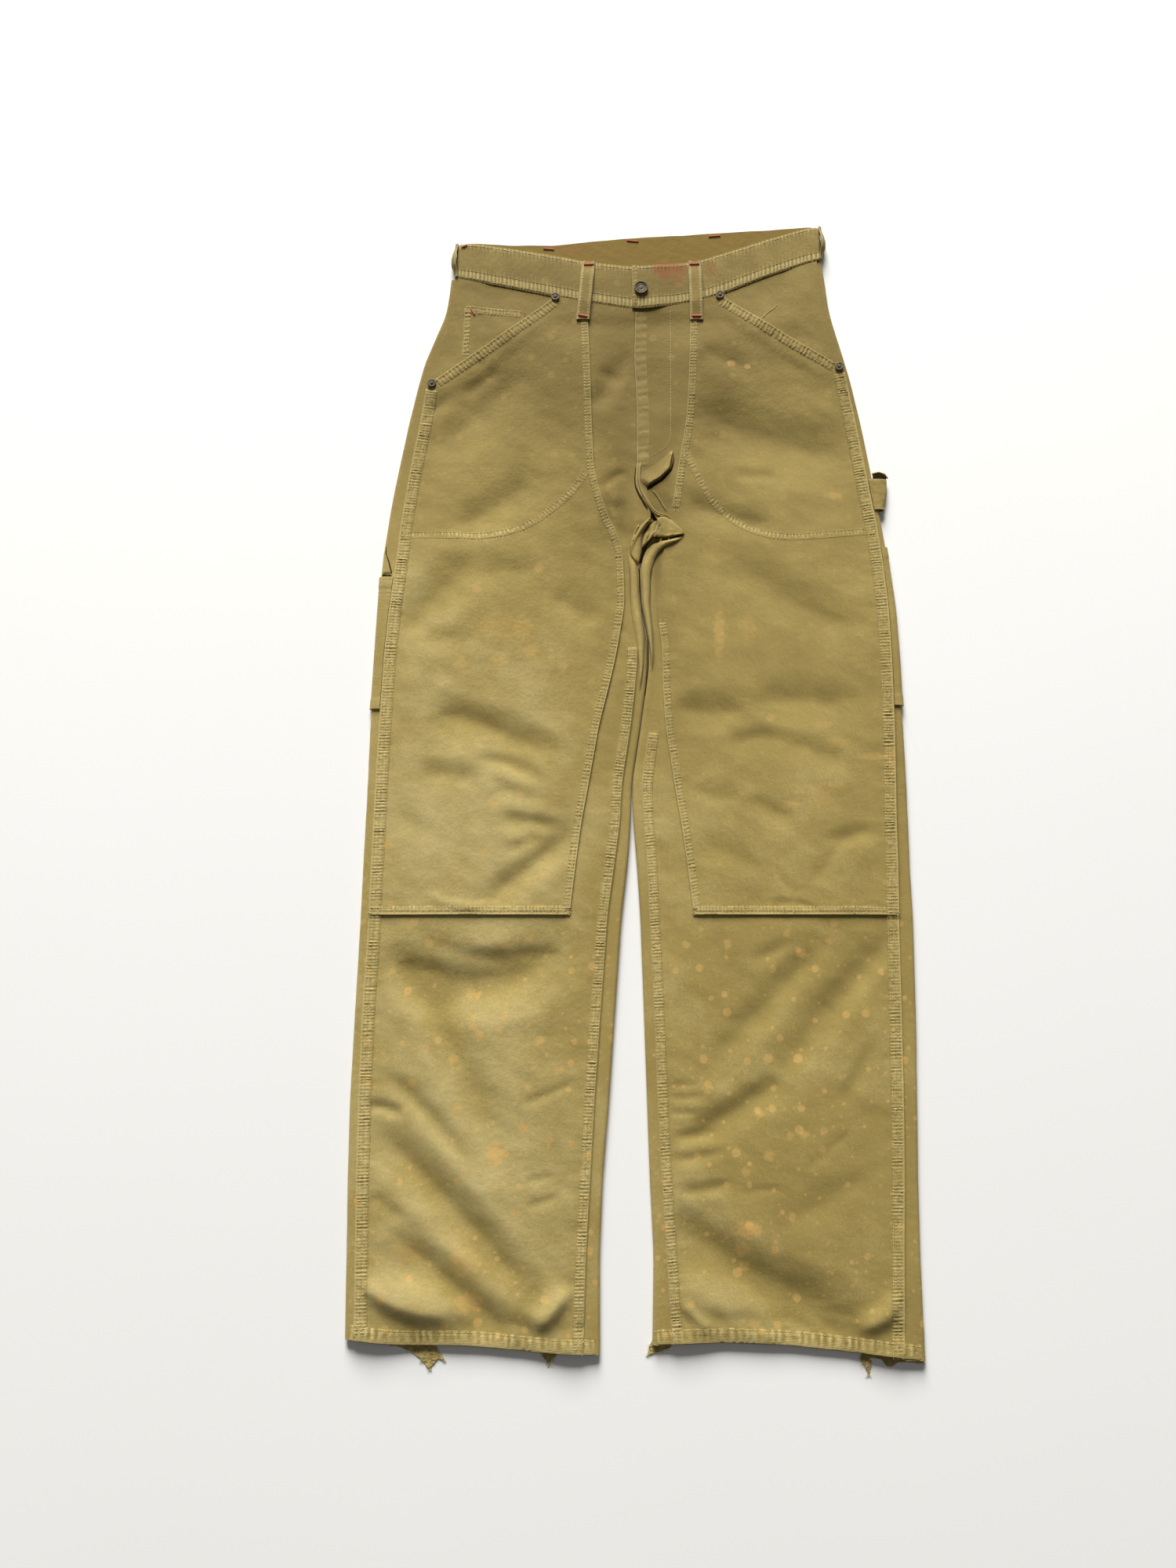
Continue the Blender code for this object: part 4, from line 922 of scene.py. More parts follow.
def turned(name, profile, centre, material, steps=48):
    """Turn a profile of (radius, height) points, from axis to axis, about a vertical line."""
    mesh = bmesh.new()
    verts = [mesh.verts.new((radius * MM, 0.0, height * MM)) for radius, height in profile]
    edges = [mesh.edges.new(pair) for pair in zip(verts, verts[1:])]
    bmesh.ops.spin(mesh, geom=verts + edges, cent=(0, 0, 0), axis=(0, 0, 1), angle=2 * math.pi,
                   steps=steps, use_merge=True)
    bmesh.ops.remove_doubles(mesh, verts=mesh.verts, dist=0.000005)
    bmesh.ops.recalc_face_normals(mesh, faces=mesh.faces)
    if mesh.calc_volume(signed=True) < 0.0:
        bmesh.ops.reverse_faces(mesh, faces=mesh.faces)
    bmesh.ops.translate(mesh, verts=mesh.verts, vec=centre)
    return finish_object(name, mesh, material, 32.0)


class Port:
    """A shader socket that takes part in Python arithmetic."""

    def __init__(self, recipe, socket):
        self.recipe = recipe
        self.socket = socket

    def _math(self, operation, first, second):
        return self.recipe.add("ShaderNodeMath", {"operation": operation}, {0: first, 1: second})

    def __add__(self, other):
        return self._math("ADD", self, other)

    __radd__ = __add__

    def __sub__(self, other):
        return self._math("SUBTRACT", self, other)

    def __rsub__(self, other):
        return self._math("SUBTRACT", other, self)

    def __mul__(self, other):
        return self._math("MULTIPLY", self, other)

    __rmul__ = __mul__

    def below(self, other):
        """1 where this is less than the other."""
        return self._math("LESS_THAN", self, other)

    def held(self):
        """This value, held between 0 and 1."""
        return self.recipe.add("ShaderNodeClamp", {}, {"Value": self})


class Recipe:
    """A material under construction."""

    def __init__(self, name):
        self.material = bpy.data.materials.new(name)
        self.material.use_nodes = True
        self.tree = self.material.node_tree
        self.shader = self.tree.nodes["Principled BSDF"]

    def add(self, kind, settings, sockets, out=0):
        """Add a node, set it, fill its sockets with values or links, and return one of its outputs."""
        node = self.tree.nodes.new(kind)
        for key, value in settings.items():
            if key == "stops":
                ramp = node.color_ramp
                while len(ramp.elements) < len(value):
                    ramp.elements.new(0.5)
                for element, (place, colour) in zip(ramp.elements, value):
                    element.position = place
                    element.color = (*colour, 1.0)
            else:
                setattr(node, key, value)
        for key, value in sockets.items():
            if isinstance(value, Port):
                self.tree.links.new(value.socket, node.inputs[key])
            else:
                node.inputs[key].default_value = value
        return Port(self, node.outputs[out])

    def set(self, socket, value):
        """Fill one of the shader's own sockets."""
        if isinstance(value, Port):
            self.tree.links.new(value.socket, self.shader.inputs[socket])
        else:
            self.shader.inputs[socket].default_value = value

    def place(self):
        """Object coordinates."""
        return self.add("ShaderNodeTexCoord", {}, {}, "Object")

    def share(self, name):
        """A share stored on the mesh."""
        return self.add("ShaderNodeAttribute", {"attribute_name": name}, {}, "Fac")

    def cloud(self, vector, scale, detail=2.0, roughness=0.5):
        """Smooth noise from 0 to 1."""
        return self.add("ShaderNodeTexNoise", {}, {"Vector": vector, "Scale": scale, "Detail": detail,
                                                  "Roughness": roughness}, "Fac")

    def blend(self, share, first, second):
        """Mix two colours."""
        return self.add("ShaderNodeMix", {"data_type": "RGBA"}, {0: share, 6: first, 7: second}, 2)

    def vector(self, operation, sockets, out="Vector"):
        """Vector maths."""
        return self.add("ShaderNodeVectorMath", {"operation": operation}, sockets, out)

    def bump(self, height, strength, distance):
        """Raise and lower the surface by a share of a distance in metres."""
        sockets = {"Height": height, "Strength": strength, "Distance": distance}
        self.set("Normal", self.add("ShaderNodeBump", {}, sockets, "Normal"))

    def stretch(self, vector, scale):
        """Scale coordinates."""
        return self.add("ShaderNodeMapping", {}, {"Vector": vector, "Scale": scale}, "Vector")


def rgb(colour):
    """A colour with full alpha."""
    return (*colour, 1.0)


def blots(recipe, place, table, edge):
    """Share of a place covered by the stains of a table, with ragged edges."""
    total = 0.0
    for blot in table:
        centre = tuple((Vector((blot.x, blot.y, 0.0)) - CENTRE) * MM)
        away = recipe.vector("SUBTRACT", {0: place, 1: centre})
        size = (1.0 / (blot.reach_x * MM), 1.0 / (blot.reach_y * MM), 0.0)
        scaled = recipe.vector("MULTIPLY", {0: away, 1: size})
        reach = recipe.vector("LENGTH", {0: scaled}, "Value")
        total = ((1.35 - reach + (edge - 0.5) * 1.6) * 1.6).held() * blot.strength + total
    return total.held()


def spatter(recipe, place, size, chance, seed):
    """Small round spots, a few to each patch of cloth."""
    shifted = recipe.vector("ADD", {0: place, 1: (seed, seed * 0.7, 0.0)})
    cells = {"voronoi_dimensions": "2D"}
    inputs = {"Vector": shifted, "Scale": 1.0 / size, "Randomness": 1.0}
    away = recipe.add("ShaderNodeTexVoronoi", cells, inputs, "Distance")
    tint = recipe.add("ShaderNodeTexVoronoi", cells, inputs, "Color")
    pick = recipe.add("ShaderNodeSeparateColor", {}, {"Color": tint}, "Red")
    spread = recipe.add("ShaderNodeSeparateColor", {}, {"Color": tint}, "Green")
    radius = (pick.below(chance)) * (0.07 + 0.13 * spread * spread)
    return ((radius - away) * 22.0 + 0.5).held() * pick.below(chance)


def cloth_material(name, tone=0.0, spotted=True, contrast=0.10):
    """Faded cotton drill: mottled, paler where rubbed, spattered with bleach, and darker in creases as
    painted shade.
    """
    recipe = Recipe(name)
    colours = cloth()
    place = recipe.place()
    weave = recipe.add("ShaderNodeUVMap", {"uv_map": "weave"}, {})
    relief, wear, inside = recipe.share("relief"), recipe.share("wear"), recipe.share("inside")
    broad = recipe.cloud(place, 9.0, 2.0)
    cloudy = recipe.cloud(place, 42.0, 4.0, 0.6)
    fibre = recipe.cloud(recipe.stretch(weave, (1.0, 0.35, 1.0)), 1500.0, 2.0, 0.6)
    speck = recipe.cloud(place, 420.0, 3.0, 0.7)
    # relief turns raised parts paler, as wear, and creases and low places darker, which is painted shade;
    # tone adds the broad fading and painted light and shade
    fade = 0.5 + tone + recipe.share("tone") + relief * contrast + (broad - 0.5) * 0.5 + (cloudy - 0.5) * 0.36
    fade = (fade + (fibre - 0.5) * 0.30 + (speck - 0.5) * 0.34).held()
    stops = ((0.0, colours.shaded), (0.5, colours.faded), (1.0, colours.worn))
    colour = recipe.add("ShaderNodeValToRGB", {"stops": stops}, {"Fac": fade}, "Color")
    rubbed = (wear * (0.55 + (speck - 0.5) * 0.9)).held()
    colour = recipe.blend(rubbed, colour, rgb(colours.worn))
    if spotted:
        ragged = recipe.cloud(place, 260.0, 3.0)
        low = recipe.add("ShaderNodeSeparateXYZ", {}, {"Vector": place}, "Y")
        lower_leg = ((-0.08 - low) * 7.0).held()
        spots = spatter(recipe, place, 0.021, 0.55, 0.13) * (0.2 + 0.8 * lower_leg)
        fine = spatter(recipe, place, 0.0085, 0.30, 0.57) * (0.1 + 0.9 * lower_leg)
        patches = blots(recipe, place, BLEACHED, ragged)
        bleach = (spots * 0.6 + fine * 0.45 + patches * 0.75).held()
        bleach = (bleach * (0.62 + 0.6 * ragged)).held()
        colour = recipe.blend(bleach, colour, rgb(colours.bleach))
    dark = (inside * 0.85).held()
    colour = recipe.blend(dark, colour, rgb(colours.lining))
    rust = blots(recipe, place, RUSTED, recipe.cloud(place, 150.0, 4.0, 0.65))
    colour = recipe.blend((rust * 0.85).held(), colour, rgb(colours.rust))
    twill = recipe.add("ShaderNodeTexWave", {"wave_type": "BANDS", "bands_direction": "DIAGONAL"},
                       {"Vector": weave, "Scale": 330.0, "Distortion": 0.6, "Detail": 1.0}, "Fac")
    crinkle = recipe.cloud(place, 190.0, 4.0, 0.6)
    surface = twill * 0.16 + crinkle * 0.9 + fibre * 0.18
    recipe.set("Base Color", colour)
    recipe.bump(surface, 0.55, 0.0009)
    recipe.set("Roughness", (0.80 + (fibre - 0.5) * 0.2).held())
    recipe.set("Sheen Weight", 0.12)
    recipe.set("Sheen Roughness", 0.5)
    recipe.set("Specular IOR Level", 0.25)
    return recipe.material


def plain_material(name):
    """Drill of the pieces that keep the solids' own shape."""
    recipe = Recipe(name)
    place = recipe.place()
    mottle = recipe.cloud(place, 60.0, 4.0, 0.6)
    grain = recipe.cloud(place, 900.0, 3.0, 0.6)
    share = (0.5 + (mottle - 0.5) * 0.5 + (grain - 0.5) * 0.6).held()
    recipe.set("Base Color", recipe.blend(share, rgb(cloth().shaded), rgb(cloth().faded)))
    recipe.bump(grain, 0.4, 0.0004)
    recipe.set("Roughness", 0.82)
    return recipe.material


def thread_material(name, colour):
    """Sewing thread, twisted and a little uneven in colour."""
    recipe = Recipe(name)
    place = recipe.place()
    fuzz = recipe.cloud(place, 700.0, 3.0)
    pale = tuple(min(1.0, part * 1.5 + 0.03) for part in colour)
    recipe.set("Base Color", recipe.blend(fuzz, rgb(colour), rgb(pale)))
    twist = recipe.cloud(place, 1800.0, 1.0)
    recipe.bump(twist, 0.4, 0.0002)
    recipe.set("Roughness", 0.75)
    return recipe.material


def metal_material():
    """Dark antique metal, rubbed brighter in places."""
    recipe = Recipe("rubbed_metal")
    place = recipe.place()
    patina = recipe.cloud(place, 520.0, 4.0, 0.65)
    bright = tuple(part * 2.6 + 0.03 for part in cloth().metal)
    recipe.set("Base Color", recipe.blend(((patina - 0.42) * 3.0).held(), rgb(cloth().metal), rgb(bright)))
    recipe.set("Metallic", 0.3)
    recipe.set("Roughness", (0.45 + patina * 0.3).held())
    recipe.set("Specular IOR Level", 0.25)
    scratch = recipe.cloud(place, 1400.0, 2.0)
    recipe.bump(scratch, 0.1, 0.0002)
    return recipe.material


def shade_material():
    """Painted shade: a near-black sheet that stands for the shade deep inside a fold or opening."""
    recipe = Recipe("deep_shade")
    place = recipe.place()
    fuzz = recipe.cloud(place, 500.0, 2.0)
    recipe.set("Base Color", recipe.blend(fuzz, (0.012, 0.007, 0.002, 1.0), (0.03, 0.018, 0.005, 1.0)))
    recipe.set("Roughness", 0.95)
    recipe.set("Specular IOR Level", 0.05)
    return recipe.material


def floor_material():
    """Plain pale floor with a faint mottle."""
    recipe = Recipe("pale_floor")
    mottle = recipe.cloud(recipe.place(), 3.0, 2.0)
    base = bpy.context.scene.pants_stage.floor
    recipe.set("Base Color", recipe.blend(mottle, rgb(base), rgb(tuple(part * 0.98 for part in base))))
    recipe.set("Roughness", 0.7)
    return recipe.material


def material(name):
    """A material that has been made."""
    return bpy.data.materials[name]


def piece(name):
    """A piece that has been made."""
    return bpy.data.objects[name]


def leg_line(leg, column, low, high, count):
    """Path of one of a leg's lines between two heights."""
    y = np.linspace(low, high, count)
    return np.stack([leg.x(y, column), y], axis=-1)


TWO_ROWS = (0.26, 0.77)
THREE_ROWS = (0.16, 0.46, 0.80)
STRIP_TOP = {"R": 110.0, "L": 26.0}   # where the strip between the double front and the inseam opens
DOUBLE_EDGE_TOP = {"R": 468.0, "L": 134.0}   # where the fold at the crotch hides the left one


def clothward(path, leg, inward):
    """Order a path so that its cloth lies on its left: inward for a path on the leg's outer side."""
    return path if (leg.side > 0) == inward else path[::-1]


def seam_bands():
    """Every felled seam and turned edge, with its rows of sewing."""
    bands = []

    def add(name, path, width, rise, pucker, pitch, profile, rows):
        rows = tuple(row * width for row in rows)
        bands.append(Band(name, path, width, rise, pucker, pitch, profile, rows))

    for leg in LEGS:
        name = leg.name
        hem = float(hem_y(leg.x(HEM, "seam"))) + 1.0
        path = leg_line(leg, "seam", hem, leg.slash.low_y - 6.0, 300)
        add("outseam_" + name, clothward(path, leg, True), FELL_WIDTH, 0.95, 0.36, 2.9, FELLED, THREE_ROWS)
        hem = float(hem_y(leg.x(HEM, "inseam"))) + 1.0
        path = leg_line(leg, "inseam", hem, STRIP_TOP[name], 260)
        add("inseam_" + name, clothward(path, leg, False), 11.0, 0.95, 0.36, 2.9, FELLED, THREE_ROWS)
        path = leg_line(leg, "overlay", KNEE + 2.0, DOUBLE_EDGE_TOP[name], 400)
        add("double_edge_" + name, clothward(path, leg, False), 8.0, 0.6, 0.32, 3.3, TURNED, TWO_ROWS)
        if leg.side > 0:
            path = leg_line(leg, "overlay", 247.0, 468.0, 160)
            add("double_top_" + name, clothward(path, leg, False), 8.0, 0.6, 0.32, 3.3, TURNED, TWO_ROWS)
        x = np.linspace(leg.x(KNEE, "seam"), leg.x(KNEE, "overlay"), 120)
        path = np.stack([x, leg.row_y(KNEE, x) + 0.3], axis=-1)
        add("double_knee_" + name, clothward(path, leg, False), 8.5, 0.7, 0.32, 3.3, TURNED, TWO_ROWS)
        parts = np.linspace(0.01, 0.99, 120)
        path = np.array([leg.slash_point(mix(SLASH_ROW, WAIST, part)) for part in parts])
        add("slash_" + name, clothward(path, leg, True), 11.0, 0.7, 0.40, 4.2, TURNED, TWO_ROWS)
        x = np.linspace(leg.x(HEM, "edge") - leg.side * 3.5, leg.x(HEM, "inner") + leg.side * 3.5, 160)
        path = np.stack([x, leg.row_y(HEM, x) + 0.4], axis=-1)
        add("hem_" + name, clothward(path, leg, False), 13.0, 1.0, 0.40, 7.3, HEMMED, (0.86,))
        path = clothward(pocket_bag_path(leg), leg, True)
        add("pocket_bag_" + name, path, 6.5, 0.14, 0.30, 3.6, FLAT, (0.05, 0.95))
    y = np.linspace(292.0, float(waist_y(6.0, "front_low")) - 1.0, 140)
    edge = np.stack([LEFT.x(y, "inseam"), y], axis=-1)
    add("fly_edge", edge[::-1], 13.0, 0.5, 0.13, 8.7, TURNED, ())
    x = BAND_LAP[0] + 0.3
    y = np.linspace(float(waist_y(x, "front_top")) - 0.8, float(waist_y(x, "front_low")) + 0.8, 60)
    add("band_lap", np.stack([np.full(60, x), y], axis=-1), 6.0, 0.5, 0.2, 4.0, TURNED, ())
    add("watch_top", np.array([(-107.0, 459.6), (-167.0, 465.0)]), 9.0, 0.5, 0.36, 3.6, TURNED, TWO_ROWS)
    add("watch_side", np.array([(-167.0, 464.0), (-168.5, 408.0)]), 7.5, 0.45, 0.36, 4.4, TURNED, TWO_ROWS)
    return bands


# Bends of the fly's curved row of sewing
FLY_ROW = ((41.9, 460.0), (41.2, 392.0), (40.4, 326.0), (38.5, 318.0), (33.0, 311.0), (22.0, 305.0))
# Start, bend and end of each curve of the row that holds a pocket's bag
POCKET_BAGS = {
    "R": (((-224, 224), (-190, 225), (-150, 223)), ((-150, 223), (-108, 225), (-82, 248)),
          ((-82, 248), (-58, 266), (-47, 288))),
    "L": (((238, 229), (196, 224), (162, 222)), ((162, 222), (112, 222), (84, 258)),
          ((84, 258), (69, 280), (58, 312))),
}


def pocket_bag_path(leg):
    """Row of sewing that shows where the pocket's bag is sewn down inside."""
    return np.concatenate([curve_points(*curve, 40) for curve in POCKET_BAGS[leg.name]])


class PANTS_OT_materials(bpy.types.Operator):
    """Make the finishes of the cloth, thread and metal"""

    bl_idname = "pants.materials"
    bl_label = "Finishes"

    def execute(self, context):
        cloth_material("faded_drill")
        cloth_material("back_drill", tone=-0.04)
        # Band, trim and fold drill show relief strongly: painted shade in low places, paler raised places
        cloth_material("band_drill", tone=-0.13, contrast=0.45)
        cloth_material("trim_drill", tone=0.0, contrast=0.45)
        cloth_material("fold_drill", tone=-0.02, contrast=0.8)
        cloth_material("facing_drill", tone=-0.04, spotted=False)
        cloth_material("frayed_drill", tone=0.06, spotted=False, contrast=0.5)
        plain_material("plain_drill")
        shade_material()
        thread_material("sewing_thread", cloth().sewing)
        thread_material("bartack_thread", cloth().bartack)
        metal_material()
        return {"FINISHED"}


class PANTS_OT_backs(bpy.types.Operator):
    """Make the back panels, which turn over both edges of each leg"""

    bl_idname = "pants.backs"
    bl_label = "Back panels"

    def execute(self, context):
        for leg in LEGS:
            make_back(leg, material("back_drill"))
        return {"FINISHED"}


class PANTS_OT_fronts(bpy.types.Operator):
    """Make the front panels, the double fronts and the pocket facings"""

    bl_idname = "pants.fronts"
    bl_label = "Fronts"

    def execute(self, context):
        for leg in LEGS:
            make_front(leg, material("faded_drill"))
            make_double_front(leg, material("faded_drill"))
            make_facing(leg, material("facing_drill"))
        return {"FINISHED"}


def build_watch_pocket(ground):
    """Small pocket on the wearer's right facing, cut off by the slash."""
    slash = SLASHES["R"]
    x = np.linspace(-167.0, -106.0, 40)
    share = (x - slash.low_x) / (slash.top_x - slash.low_x)
    low = mix(slash.low_y, slash.top_y, share) - SLASH_BOW * np.sin(math.pi * share) + 1.0
    top = np.linspace(465.0, 459.5, 40)
    part = np.linspace(0.0, 1.0, 24)[:, None]
    points = np.stack([np.broadcast_to(x, (24, 40)), mix(low[None, :], top[None, :], part)], axis=-1)
    base = np.array([[ground.at(px, py)[0] for px, py in row] for row in points]) + 0.3
    item = wall("cloth_watch_pocket", raised(points, base), raised(points, base + thick()),
                material("facing_drill"), relief=0.3 * ripple(points[..., 0], points[..., 1], 9.0))
    declare(item, points, "watch_pocket", ["cloth_pocket_facing_R"])


class PANTS_OT_waist(bpy.types.Operator):
    """Make the waistband and the watch pocket"""

    bl_idname = "pants.waist"
    bl_label = "Waistband and watch pocket"

    def execute(self, context):
        make_waistband(material("band_drill"))
        build_watch_pocket(Ground([piece("cloth_pocket_facing_R")]))
        return {"FINISHED"}


def cloth_ground():
    """Everything that sewing lies on."""
    names = ["cloth_waistband", "cloth_watch_pocket"]
    for leg in LEGS:
        names += [kind + leg.name for kind in (
            "cloth_back_panel_", "cloth_front_panel_", "cloth_double_front_", "cloth_pocket_facing_")]
    return Ground([piece(name) for name in names])


class PANTS_OT_seams(bpy.types.Operator):
    """Make the raised bands of the felled seams and turned edges, and the sewing along them"""

    bl_idname = "pants.seams"
    bl_label = "Seams and sewing"

    def execute(self, context):
        ground = cloth_ground()
        bands = seam_bands()
        made = [make_band(band, ground, material("trim_drill")) for band in bands]
        names = ["cloth_waistband", "cloth_watch_pocket"]
        names += [kind + leg.name for leg in LEGS for kind in ("cloth_front_panel_", "cloth_double_front_")]
        sewn = Ground([piece(name) for name in names] + made)
        for band in bands:
            if band.rows:
                sew("sewing_" + band.name, [(band.path, row) for row in band.rows], sewn,
                    material("sewing_thread"))
        x = np.linspace(BAND_ENDS[0] + 6.0, BAND_ENDS[1] - 4.0, 240)
        low, top = band_edges(x, np.ones(240))
        rows = [(np.stack([x, mix(low, top, part)], axis=-1), 0.0) for part in (0.05, 0.25, 0.93)]
        sew("sewing_waistband", rows, sewn, material("sewing_thread"))
        sew("sewing_fly", [(np.array(FLY_ROW), 0.0)], sewn, material("sewing_thread"))
        return {"FINISHED"}


# A small fold or flap between two edges; it rises from the cloth below it, or from lowest
Ribbon = namedtuple("Ribbon", "name shape finish lift rise lowest left right")
# Ribbons finished in deep_shade are painted shade: thin near-black sheets in the void under the beak, the
# slit between the legs and the creases along the tongue and the crotch seam
CROTCH_FOLDS = (
    Ribbon("void", "flap", "deep_shade", 0.1, 0.3, 4.0,
        ((7.2, 190), (10.8, 195.8), (15, 205.8), (21.7, 213.4), (27.5, 215.8), (33.2, 214.2), (51, 219.6)),
        ((6.9, 191.8), (9.4, 205.8), (12, 212.9), (21, 222), (33.3, 221), (42, 221), (52, 222.6))),
    Ribbon("slit", "flap", "deep_shade", 0.05, 0.3, 4.0,
        ((7.3, 192), (8, 180), (8.2, 165), (11, 145), (15.8, 118), (16, 90), (12.6, 60)),
        ((8.8, 192), (9, 180), (9.2, 165), (12, 145), (16.9, 118), (17.1, 90), (13.6, 60))),
    Ribbon("strip_L", "lobe", "fold_drill", 0.4, 3.4, 5.0,
        ((49.5, 220.2), (35.2, 215.4), (27.5, 216), (19.7, 208.9), (14.8, 200.8), (9.8, 191.8),
         (8.6, 183.7), (9.4, 171.8), (10.2, 152), (15, 125), (18.4, 104), (19.8, 84)),
        ((53.5, 221.6), (49.6, 215.9), (39, 211.4), (31.2, 208), (25.4, 200.8), (22.5, 192.8),
         (19.6, 179.7), (19.3, 165), (18.5, 150), (21, 125), (21.6, 104), (20.6, 83))),
    Ribbon("strip_R", "lobe", "fold_drill", 0.3, 2.6, 5.0,
        ((-3.4, 203.5), (-2.4, 195.8), (-1.6, 185.8), (-1.2, 159.8), (0.5, 140), (5, 112), (7.4, 90),
         (7, 64)),
        ((4, 204.5), (5.4, 193.8), (6.9, 183.7), (7.8, 171.8), (8, 159.8), (13.4, 118), (12, 90),
         (8.2, 63))),
    Ribbon("lobe_R", "lobe", "fold_drill", 0.3, 2.6, 4.0,
        ((18.5, 240), (9.3, 231.1), (3.4, 220.9), (-0.9, 211.9), (-0.5, 202), (6, 191.8)),
        ((24.2, 238.6), (18, 234.1), (13.1, 226), (11.1, 217.9), (10.8, 205.8), (7.8, 190.8))),
    Ribbon("lobe_middle", "lobe", "fold_drill", 0.2, 2.2, 4.0,
        ((23.4, 238), (18.6, 233), (13.9, 225), (12.1, 218.4), (11.5, 209.8)),
        ((28.2, 240.2), (28.4, 233.1), (24.2, 224), (21.4, 220), (12.2, 209.2))),
    Ribbon("tongue", "lip", "fold_drill", 0.0, 3.6, 4.0,
        ((7, 281), (11.6, 288.2), (24.3, 296.4), (34.1, 303.6), (40, 310)),
        ((15.8, 271), (20.2, 274.4), (30.4, 280.6), (39.4, 290), (42.4, 309))),
    Ribbon("tongue_shade", "flap", "deep_shade", 0.1, 0.15, 4.0,
        ((16, 271.2), (20.2, 274), (30.4, 280.2), (39.6, 289.8), (43.2, 299.5), (42, 307.8)),
        ((16.4, 267.8), (22, 271.2), (32, 277.6), (41.6, 288.6), (44, 299.5), (42.6, 308))),
    Ribbon("beak", "flap", "fold_drill", 1.0, 1.6, 6.0,
        ((21.7, 220.9), (27.5, 219.9), (33.3, 218.7), (41, 219.4), (53.4, 222)),
        ((27.7, 241.6), (31.4, 241.6), (35.4, 241), (40.2, 237.1), (53.2, 223))),
    Ribbon("beak_seam", "lobe", "trim_drill", 0.0, 0.8, 6.0,
        ((26.4, 240.2), (26.6, 233.1), (22, 223.4)),
        ((28.6, 240.2), (29, 233.1), (24.6, 223.4))),
    Ribbon("crotch_seam", "twin", "trim_drill", 0.2, 1.2, 5.0,
        ((7, 300), (5.8, 293.4), (5, 281), (5.5, 272.8), (8.5, 264.6), (14.3, 254.4), (20, 245.8),
         (27.7, 240.8), (35.4, 240.6), (41, 236)),
        ((12, 300), (11, 293.4), (10.2, 281), (10.4, 272.8), (13, 266.4), (18.6, 256.4), (23.4, 248.8),
         (29.2, 244.2), (35.6, 243), (42, 237.4))),
    Ribbon("crotch_shade", "flap", "deep_shade", 0.05, 0.2, 4.0,
        ((5.9, 293.4), (5, 281), (5.4, 272.8), (8.4, 264.6), (14.2, 254.4), (19.8, 245.8), (27, 241)),
        ((5, 293.4), (4, 281), (4.4, 272), (7.4, 263.6), (13, 253.4), (18.6, 244.6), (26, 239.8))),
    Ribbon("crease", "lobe", "trim_drill", 0.0, 0.9, 4.0,
        ((21, 268.7), (27.3, 259.5), (34.9, 245.8)),
        ((22.6, 269.3), (28.9, 260.3), (36.5, 246.6))),
    Ribbon("pleat_R", "lobe", "fold_drill", 0.0, 1.0, 4.0,
        ((7.4, 232.6), (2.6, 223), (1.2, 213.9)),
        ((9.2, 231.8), (4.4, 222.4), (3, 214.9))),
)
TAGS = (
    Ribbon("R_outer", "rag", "frayed_drill", 0.0, 1.2, 0.1,
        ((-192.5, -530), (-192.3, -542), (-189.8, -545.9), (-182.7, -552.4)),
        ((-178.6, -530), (-177.6, -537), (-175.4, -544), (-181.6, -551.6))),
    Ribbon("R_point", "rag", "frayed_drill", 0.0, 1.0, 0.1,
        ((-184, -536), (-180, -542.6), (-170.4, -545.2)),
        ((-178.4, -532), (-175.6, -538.4), (-170, -544.2))),
    Ribbon("R_under", "rag", "frayed_drill", 0.0, 0.8, 0.1,
        ((-192, -543), (-202.2, -537.4), (-210.6, -534.4), (-217, -532.6)),
        ((-192, -530), (-202.3, -530), (-210.6, -530.2), (-217, -530.6))),
    Ribbon("R_inner", "rag", "frayed_drill", 0.0, 0.9, 0.1,
        ((-84.6, -539), (-80.6, -544.6), (-76.6, -548.2)),
        ((-68, -539.6), (-72.6, -543.6), (-75.6, -547.8))),
    Ribbon("L_inner", "rag", "frayed_drill", 0.0, 1.6, 0.1,
        ((21.1, -519.5), (15.8, -528.4), (12.6, -533.8), (12.2, -540)),
        ((34.2, -528.1), (32.1, -534.8), (22.2, -538.6), (12.6, -540.4))),
    Ribbon("L_tag", "rag", "frayed_drill", 0.0, 1.2, 0.1,
        ((202.8, -538), (200.5, -544.9), (203.8, -549.9), (207.5, -556.8)),
        ((209.6, -539), (208.5, -545), (210, -549), (208, -556.4))),
    Ribbon("L_outer", "rag", "frayed_drill", 0.0, 1.0, 0.1,
        ((208.9, -543.6), (219.3, -544.8), (224, -550.9), (228.2, -551.5), (233.9, -547.4), (243.6, -547.4),
         (256.5, -548.2)),
        ((208.9, -539), (219.3, -540), (224, -541), (228.2, -542), (233.9, -542.6), (243.6, -544),
         (256.5, -545.6))),
)
